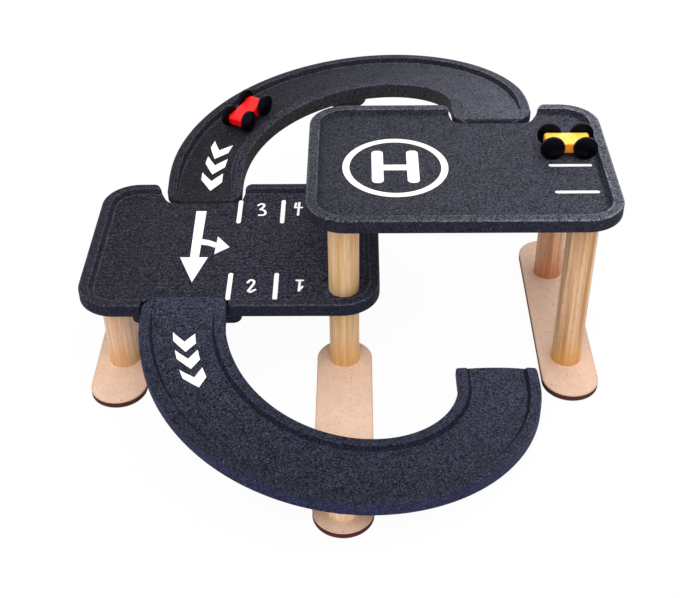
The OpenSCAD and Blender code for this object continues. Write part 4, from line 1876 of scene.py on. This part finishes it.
@dataclass
class Car:
    """A painted block on four black wheels, placed by the hinges of its axles.

    Its paints are those of the top and of the sides. The outer edge of a wheel is given as
    insets and heights from the rim of its dome.
    """

    name: str
    slot: Slot
    paints: tuple[Finish, Finish]
    lacquer: Finish
    length: float = 37.0
    width: float = 18.5
    height: float = 9.8
    lift: float = 3.3
    nose_r: float = 2.6
    nose_taper: float = 0.8
    edge_r: float = 1.9
    edge_steps: int = 6
    side_paint: float = 0.5
    wheel_r: float = 10.0
    wheel_t: float = 5.0
    wheel_edge: float = 0.9
    wheel_gap: float = 0.5
    wheel_steps: int = 56
    outer_edge: tuple[Point2, ...] = ((0.0, -0.5), (0.12, -0.1), (0.45, 0.16))
    dome_r: float = 30.0
    dome_rings: tuple[float, ...] = (9.0, 7.5, 6.0, 4.5, 3.0, 1.5, 0.5)

    def hinge(self, end: str) -> dict:
        """The hinge of one of the axles."""
        return next(j for j in frame["joints"] if j["name"] == f"{self.name}_{end}_wheels_turn")

    def place(self, middle: Vector) -> Matrix:
        """The car's own axes at a point: X to its front and Z up.

        Args:
            middle: The point in millimetres.

        Returns:
            The matrix of the axes.
        """
        ahead = (Vector(self.hinge("front")["pos_m"]) - Vector(self.hinge("rear")["pos_m"])).normalized()
        across = Vector(self.hinge("front")["axis"]).normalized()
        up = ahead.cross(across)
        if up.z < 0:
            across, up = -across, -up
        return Matrix.Translation(middle) @ Matrix((ahead, across, up)).transposed().to_4x4()

    def axle(self, end: str) -> Vector:
        """Middle of an axle in millimetres."""
        return Vector(self.hinge(end)["pos_m"]) / MM

    def body(self) -> Shape:
        """The block with its edges rounded, on its own axes.

        Returns:
            The block.
        """
        ends = [(self.nose_r * q, p) for p, q in quarter(self.edge_steps)]
        rows = [(-self.length / 2 + x, p) for x, p in ends]
        rows += [(self.length / 2 - x, p) for x, p in reversed(ends)]
        middle = self.lift + self.height / 2 - self.wheel_r
        loops = []
        for x, p in rows:
            half_y = self.width / 2 - self.nose_taper * self.edge_r * p
            half_z = self.height / 2 - self.nose_r * p
            outline = round_block(half_y, half_z, self.edge_r, 0.0, self.edge_steps)
            loops.append([(x, y, middle + z) for y, z in outline])
        block = Shape().loft(loops, caps=(Face.SKIN, Face.SKIN))
        # Faces below this height take the side paint; on the yellow car it is painted shade.
        top = self.lift + self.height - self.side_paint * self.edge_r - self.wheel_r
        for number, face in enumerate(block.faces[:-2]):
            if sum(block.points[i][2] for i in face) / len(face) < top:
                block.kinds[number] = Face.SKIN
        return block

    def dome(self, reach: float) -> float:
        """Height of a wheel's dome at a distance from its middle."""
        return self.wheel_t - self.dome_r + math.sqrt(self.dome_r ** 2 - reach ** 2)

    def wheel(self) -> Shape:
        """A turned wheel along Z, from its inner face at 0 to the top of its dome.

        Returns:
            The wheel.
        """
        r, edge = self.wheel_r, self.wheel_edge
        rows = [(r - edge * p, edge * q) for p, q in quarter()]
        rows += [(r - inset, self.dome(r) + rise) for inset, rise in self.outer_edge]
        rows += [(reach, self.dome(reach)) for reach in self.dome_rings]
        return Shape().loft([circle(reach, level, self.wheel_steps) for reach, level in rows])

    def build(self) -> None:
        """Makes the body and the wheels and settles each on its body."""
        middle = (self.axle("front") + self.axle("rear")) / 2
        block = self.body().turned(self.place(middle)).piece(f"{self.name}_block", *self.paints)
        settle(smooth(block), f"{self.name}_car", [f"{self.name}_car_body"])
        for end in ("front", "rear"):
            for hand, sign in (("left", 1), ("right", -1)):
                outward = Matrix.Rotation(-sign * math.pi / 2, 4, "X")
                inner = Matrix.Translation((0.0, sign * (self.width / 2 + self.wheel_gap), 0.0))
                place = self.place(self.axle(end)) @ inner @ outward
                start = f"{self.name}_{end}"
                disc = self.wheel().turned(place).piece(f"{start}_{hand}_disc", self.lacquer)
                settle(smooth(disc), f"{start}_wheels", [f"{start}_{hand}_wheel"])


@dataclass
class Footing:
    """Feet, posts, dowels and axles as they are packed, and the screws under the feet."""

    post_finish: PostWood
    steel_finish: Finish
    own_woods: dict[str, PostWood]
    ramp_rows: tuple[float, ...]
    # The right foot's board is darkened as painted shade, and the other feet are lightened a little as
    # painted light.
    right_foot_painted_shade: float = 0.86
    foot_painted_light: float = 1.02
    columns: tuple[float, ...] = (-COLUMN_PITCH, 0.0, COLUMN_PITCH)
    head_r: float = 4.0
    head_edge: float = 0.3
    head_depth: float = 2.4
    shank_r: float = 2.0
    sink: float = 0.5
    screw_top: float = 18.0
    screw_steps: int = 32
    point_length: float = 2.5
    point_r: float = 0.3
    recess: Point2 = (2.6, 0.55)
    recess_depth: float = 1.1
    recess_past: float = 1.0

    @staticmethod
    def dress(node: str, finish: Finish) -> None:
        """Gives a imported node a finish.

        Args:
            node: Name of the node.
            finish: Its finish.
        """
        mesh = frame["nodes"][node].data
        mesh.materials.clear()
        mesh.materials.append(finish.material())
        LOG.info("%s: %s", node, finish.name)

    def board(self, node: str) -> BoardWood:
        """The finish of a foot, fitted to its box.

        Args:
            node: Name of the foot.

        Returns:
            The finish.
        """
        low, high = (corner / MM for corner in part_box(node))
        sizes = ((low.x + high.x) / 2, low.y, high.y, high.x - low.x, high.z - low.z)
        tone = self.right_foot_painted_shade if node == "right_foot" else self.foot_painted_light
        return BoardWood(f"finish_{node}", *sizes, tone=tone)

    def screw(self) -> bpy.types.Object:
        """One countersunk screw with a cross recess, standing on Z.

        Returns:
            The screw.
        """
        foot, top = self.sink, self.screw_top
        rows = [(self.head_r - self.head_edge, foot), (self.head_r, foot + self.head_edge)]
        rows += [(self.shank_r, foot + self.head_depth), (self.shank_r, top - self.point_length)]
        rows += [(self.point_r, top)]
        loops = [circle(r, level, self.screw_steps) for r, level in rows]
        piece = Shape().loft(loops).piece("screw", self.steel_finish)
        bars = []
        for number, (half_x, half_y) in enumerate((self.recess, self.recess[::-1])):
            outline = [(half_x, half_y), (-half_x, half_y), (-half_x, -half_y), (half_x, -half_y)]
            loops = [raised(outline, level) for level in (-self.recess_past, foot + self.recess_depth)]
            bars.append(Shape().loft(loops).piece(f"recess_{number}", self.steel_finish))
        return smooth(cut(piece, bars))

    def build(self, scatter: ScatterTree) -> None:
        """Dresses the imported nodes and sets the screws.

        Args:
            scatter: Tree that copies the screw.
        """
        for node in frame["nodes"]:
            if node.endswith(("_post", "_dowels")):
                self.dress(node, self.own_woods.get(node, self.post_finish))
            elif node.endswith("_axle"):
                self.dress(node, self.steel_finish)
            elif node.endswith("_foot"):
                self.dress(node, self.board(node))
        spots = Shape()
        spots.add((x, y, 0.0) for x in self.columns for y in POST_ROWS)
        spots.add((0.0, y, 0.0) for y in self.ramp_rows)
        piece = spots.piece("foot_screw_set", self.steel_finish)
        pattern = self.screw()
        scatter.form(piece, {"Object": pattern, "Material": self.steel_finish.material()})
        bpy.data.objects.remove(pattern)
        settle(piece, "garage", ["foot_screws"])


@dataclass(frozen=True)
class Lamp:
    """A wide soft sun, with its spread in degrees and the direction that it shines from."""

    name: str
    strength: float
    spread: float
    source: Point3

    def build(self) -> None:
        """Hangs the lamp."""
        data = bpy.data.lights.new(self.name, "SUN")
        data.energy = self.strength
        data.angle = math.radians(self.spread)
        made = linked(self.name, data)
        made.rotation_euler = Vector(self.source).to_track_quat("Z", "Y").to_euler()


@dataclass(frozen=True)
class Studio:
    """Camera, plain soft light and a pale floor.

    The focal length is in pixels of the image, and the angles are in degrees.
    """

    camera_at: Point3 = (11.1, -840.9, 678.6)
    focal: float = 1204.1
    pitch: float = 37.91
    yaw: float = 1.06
    roll: float = 0.86
    sensor: float = 36.0
    far_clip: float = 50.0
    sky: float = 0.92
    lamps: tuple[Lamp, ...] = (
        Lamp("top_light", 0.5, 60.0, (0.3, 0.0, 1.0)),
        Lamp("front_light", 0.9, 40.0, (-0.1, -0.75, 1.0)),
        Lamp("back_light", 0.35, 40.0, (0.5, 1.0, 0.75)),
    )
    floor_half: float = 5000.0
    floor_drop: float = 0.2

    def camera(self) -> None:
        """Sets the camera at its place, turned by its three angles."""
        pitch, yaw, roll = (math.radians(angle) for angle in (self.pitch, self.yaw, self.roll))
        level = Vector((math.cos(yaw), math.sin(yaw), 0.0))
        ahead = Vector((-math.sin(yaw) * math.cos(pitch), math.cos(yaw) * math.cos(pitch), -math.sin(pitch)))
        down = ahead.cross(level)
        right = level * math.cos(roll) + down * math.sin(roll)
        below = down * math.cos(roll) - level * math.sin(roll)
        data = bpy.data.cameras.new("camera")
        data.sensor_width = self.sensor
        data.sensor_fit = "HORIZONTAL"
        data.lens = self.focal * self.sensor / IMAGE_WIDTH
        data.clip_end = self.far_clip
        made = linked("camera", data)
        turn = Matrix((right, -below, -ahead)).transposed().to_4x4()
        made.matrix_world = Matrix.Translation(Vector(self.camera_at) * MM) @ turn
        bpy.context.scene.camera = made

    def light(self) -> None:
        """Sets an even sky and the lamps."""
        world = bpy.data.worlds.new("sky")
        bpy.context.scene.world = world
        world.use_nodes = True
        g = Graph(world.node_tree)
        g.tree.nodes.clear()
        glow = g.add("ShaderNodeBackground", inputs={"Color": seen(255, 255, 255), "Strength": self.sky})
        g.node("ShaderNodeOutputWorld", inputs={"Surface": glow})
        for lamp in self.lamps:
            lamp.build()

    def floor(self) -> None:
        """Lays the pale floor just below the feet."""
        half = self.floor_half
        square = ((-half, -half), (half, -half), (half, half), (-half, half))
        sheet = Shape()
        sheet.add(raised(square, -self.floor_drop))
        sheet.face(range(len(square)))
        made = sheet.piece("floor", WhiteFloor())

    def build(self) -> None:
        """Sets the camera, the light and the floor."""
        self.camera()
        self.light()
        self.floor()
        bpy.context.scene.view_settings.view_transform = "Standard"


def moulded_woods() -> dict[str, Moulding]:
    """Finishes of the decks and ramps. Their tones are set piece by piece as painted light and shade: the
    mid deck is darker than the upper deck, though they are the same material.

    Returns:
        The finishes of each piece by node.
    """
    woods = (
        Moulding(
            "upper_deck", top=seen(45, 46, 55), skin=seen(33, 33, 47), edge=seen(74, 76, 85),
            rim=seen(57, 59, 66), wall=seen(40, 40, 51), painted_light_growth=(3.6, 0.0), rim_painted_light_growth=(4.8, 1.5),
            contrast=1.8,
        ),
        Moulding(
            "mid_deck", top=seen(40, 40, 52), skin=seen(30, 31, 47), edge=seen(60, 60, 73),
            rim=seen(42, 42, 54), wall=seen(32, 33, 46), painted_light_growth=(5.0, 0.0), rim_painted_light_growth=(2.0, 0.0),
            line_pitch=5.4, contrast=5.0,
        ),
        Moulding(
            "lower_ramp", top=seen(61, 63, 82), skin=seen(36, 38, 66), edge=seen(64, 67, 88),
            rim=seen(62, 65, 84), wall=seen(25, 26, 43), painted_light_growth=(2.6, 6.0), rim_painted_light_growth=(2.6, 6.0),
            contrast=2.6,
        ),
        Moulding(
            "upper_ramp", top=seen(51, 52, 61), skin=seen(45, 43, 49), edge=seen(64, 65, 76),
            rim=seen(52, 53, 63), wall=seen(28, 28, 37), painted_light_growth=(9.0, -2.0), rim_painted_light_growth=(5.0, -1.0),
            contrast=1.4,
        ),
    )
    return {wood.name: wood for wood in woods}


def post_woods() -> dict[str, PostWood]:
    """Woods of the posts that differ from the rest.

    Returns:
        The wood of each post by node.
    """
    looks = {
        "left_front_post": {
            "pale": seen(230, 196, 170), "gold": seen(206, 158, 118), "warm": seen(212, 160, 96),
            "figure": 0.7,
        },
        "right_front_post": {
            "pale": seen(220, 180, 142), "gold": seen(166, 116, 60), "warm": seen(216, 152, 76),
            "figure": 0.9,
        },
        "right_rear_post": {
            "pale": seen(212, 160, 122), "gold": seen(172, 118, 78), "warm": seen(186, 112, 66),
            "pore": seen(120, 66, 38), "figure": 0.9,
        },
        "lower_ramp_post": {"pale": seen(240, 210, 180), "gold": seen(226, 188, 148), "warmth": 0.0},
    }
    return {node: PostWood(f"finish_{node}", **look) for node, look in looks.items()}


def make_decks(woods: dict[str, Moulding]) -> tuple[Deck, Deck]:
    """Both decks with their notches.

    Args:
        woods: Finishes of the moulded pieces, by node.

    Returns:
        The mid deck and the upper deck.
    """
    rear = {"side": Side.REAR, "depth": 26.2, "pad_width": 44.0, "leans": (25.0, 10.0), "mouth": 8.0}
    front = {"side": Side.FRONT, "depth": 16.2, "pad_width": 89.0, "leans": (0.0, 0.0), "mouth": 2.0}
    mid = Deck(
        "mid_deck", -COLUMN_PITCH / 2, MID_DECK_RISE,
        notches=tuple(Notch(x=-RAMP_RADIUS, out=-1, **sizes) for sizes in (front, rear)),
        finishes=woods["mid_deck"].finishes(), sunk_rings=tuple((0.0, y) for y in POST_ROWS),
    )
    upper = Deck(
        "upper_deck", COLUMN_PITCH / 2, UPPER_DECK_RISE, notches=(Notch(x=RAMP_RADIUS, out=1, **rear),),
        finishes=woods["upper_deck"].finishes(), wall_foot=Face.WALL,
    )
    return mid, upper


def make_ramps(woods: dict[str, Moulding]) -> tuple[Ramp, Ramp]:
    """Both ramps.

    Args:
        woods: Finishes of the moulded pieces, by node.

    Returns:
        The lower ramp and the upper ramp.
    """
    tab = {"level": 14.0, "rise": 60.0, "outer_r": 16.0, "inner_r": 11.0, "edge": 3.0}
    ground = RampEnd(level=0.0, flat=0.0, rise=5.0, outer_r=8.0, inner_r=2.0, edge=1.8)
    mid_level, upper_level = MID_DECK_RISE + TAB_LEVEL, UPPER_DECK_RISE + TAB_LEVEL
    lower = Ramp(
        node="lower_ramp", side=Side.FRONT, straight=23.7, ring=99.6, high=mid_level, low=5.5, sag=8.0,
        high_end=RampEnd(flat=22.0, **tab), low_end=ground, bow=2.5, boss_under=18.88, boss_over=34.03,
        boss_shift=7.0, boss_r=17.0, finishes=woods["lower_ramp"].finishes(),
    )
    upper = Ramp(
        node="upper_ramp", side=Side.REAR, straight=28.1, ring=94.0, high=upper_level, low=mid_level,
        sag=0.0, high_end=RampEnd(flat=17.0, **tab), low_end=RampEnd(flat=6.0, **tab), bow=0.0,
        plate_extra=2.0, boss_under=100.2, boss_over=120.35, boss_shift=0.0,
        finishes=woods["upper_ramp"].finishes(),
    )
    return lower, upper


def make_chevrons(lower: Ramp, upper: Ramp, finish: Finish) -> tuple[RampPrint, RampPrint]:
    """The chevrons on both ramps.

    Args:
        lower: The lower ramp.
        upper: The upper ramp.
        finish: Finish of the prints.

    Returns:
        The prints of the lower ramp and of the upper ramp.
    """
    tilted = ((8.7, 0.0), (0.3, 10.2), (-8.7, 3.3), (-8.3, 13.3), (0.7, 19.9), (8.8, 8.0))
    upright = ((9.7, 0.0), (0.0, 11.0), (-9.7, 0.3), (-9.8, 12.3), (0.2, 23.2), (9.4, 9.2))
    return (
        RampPrint(lower, finish, ((38.1, -1.5), (54.8, -1.6), (72.9, -0.8)), tilted),
        RampPrint(upper, finish, ((377.0, -2.9), (397.9, -5.3), (419.0, -5.2)), upright),
    )


def make_cars() -> tuple[Car, Car]:
    """Both cars in their paints.

    Returns:
        The yellow car and the red car.
    """
    black = WheelLacquer()
    yellow = CarPaint("finish_yellow_paint", seen(255, 224, 92), seen(246, 188, 34))
    # The yellow car's sides take a darker orange copy of its paint, as painted shade.
    painted_shade_yellow = CarPaint("finish_amber_paint", seen(255, 158, 20), seen(240, 128, 8))
    red = CarPaint("finish_red_paint", seen(240, 12, 18), seen(214, 8, 14))
    scarlet = CarPaint("finish_scarlet_paint", seen(250, 10, 14), seen(232, 8, 12))
    return Car("yellow", Slot.YELLOW, (yellow, painted_shade_yellow), black), Car("red", Slot.RED, (red, scarlet), black)


def main() -> None:
    """Builds every piece in order."""
    logging.basicConfig(level=logging.INFO, format="%(name)s %(message)s")
    bend, scatter = RampBend(), ScatterTree()
    woods, white = moulded_woods(), PrintWhite()
    decks, ramps = make_decks(woods), make_ramps(woods)
    ramp_rows = tuple(ramp.post_y for ramp in ramps)
    Footing(PostWood(), PlainSteel(), post_woods(), ramp_rows).build(scatter)
    for deck in decks:
        deck.build()
    for ramp in ramps:
        ramp.build(bend)
    DeckPrints(white, *(deck.floor for deck in decks)).build()
    for chevrons in make_chevrons(*ramps, white):
        chevrons.build(bend)
    for car in make_cars():
        car.build()
    Studio().build()


if __name__ == "__main__":
    main()
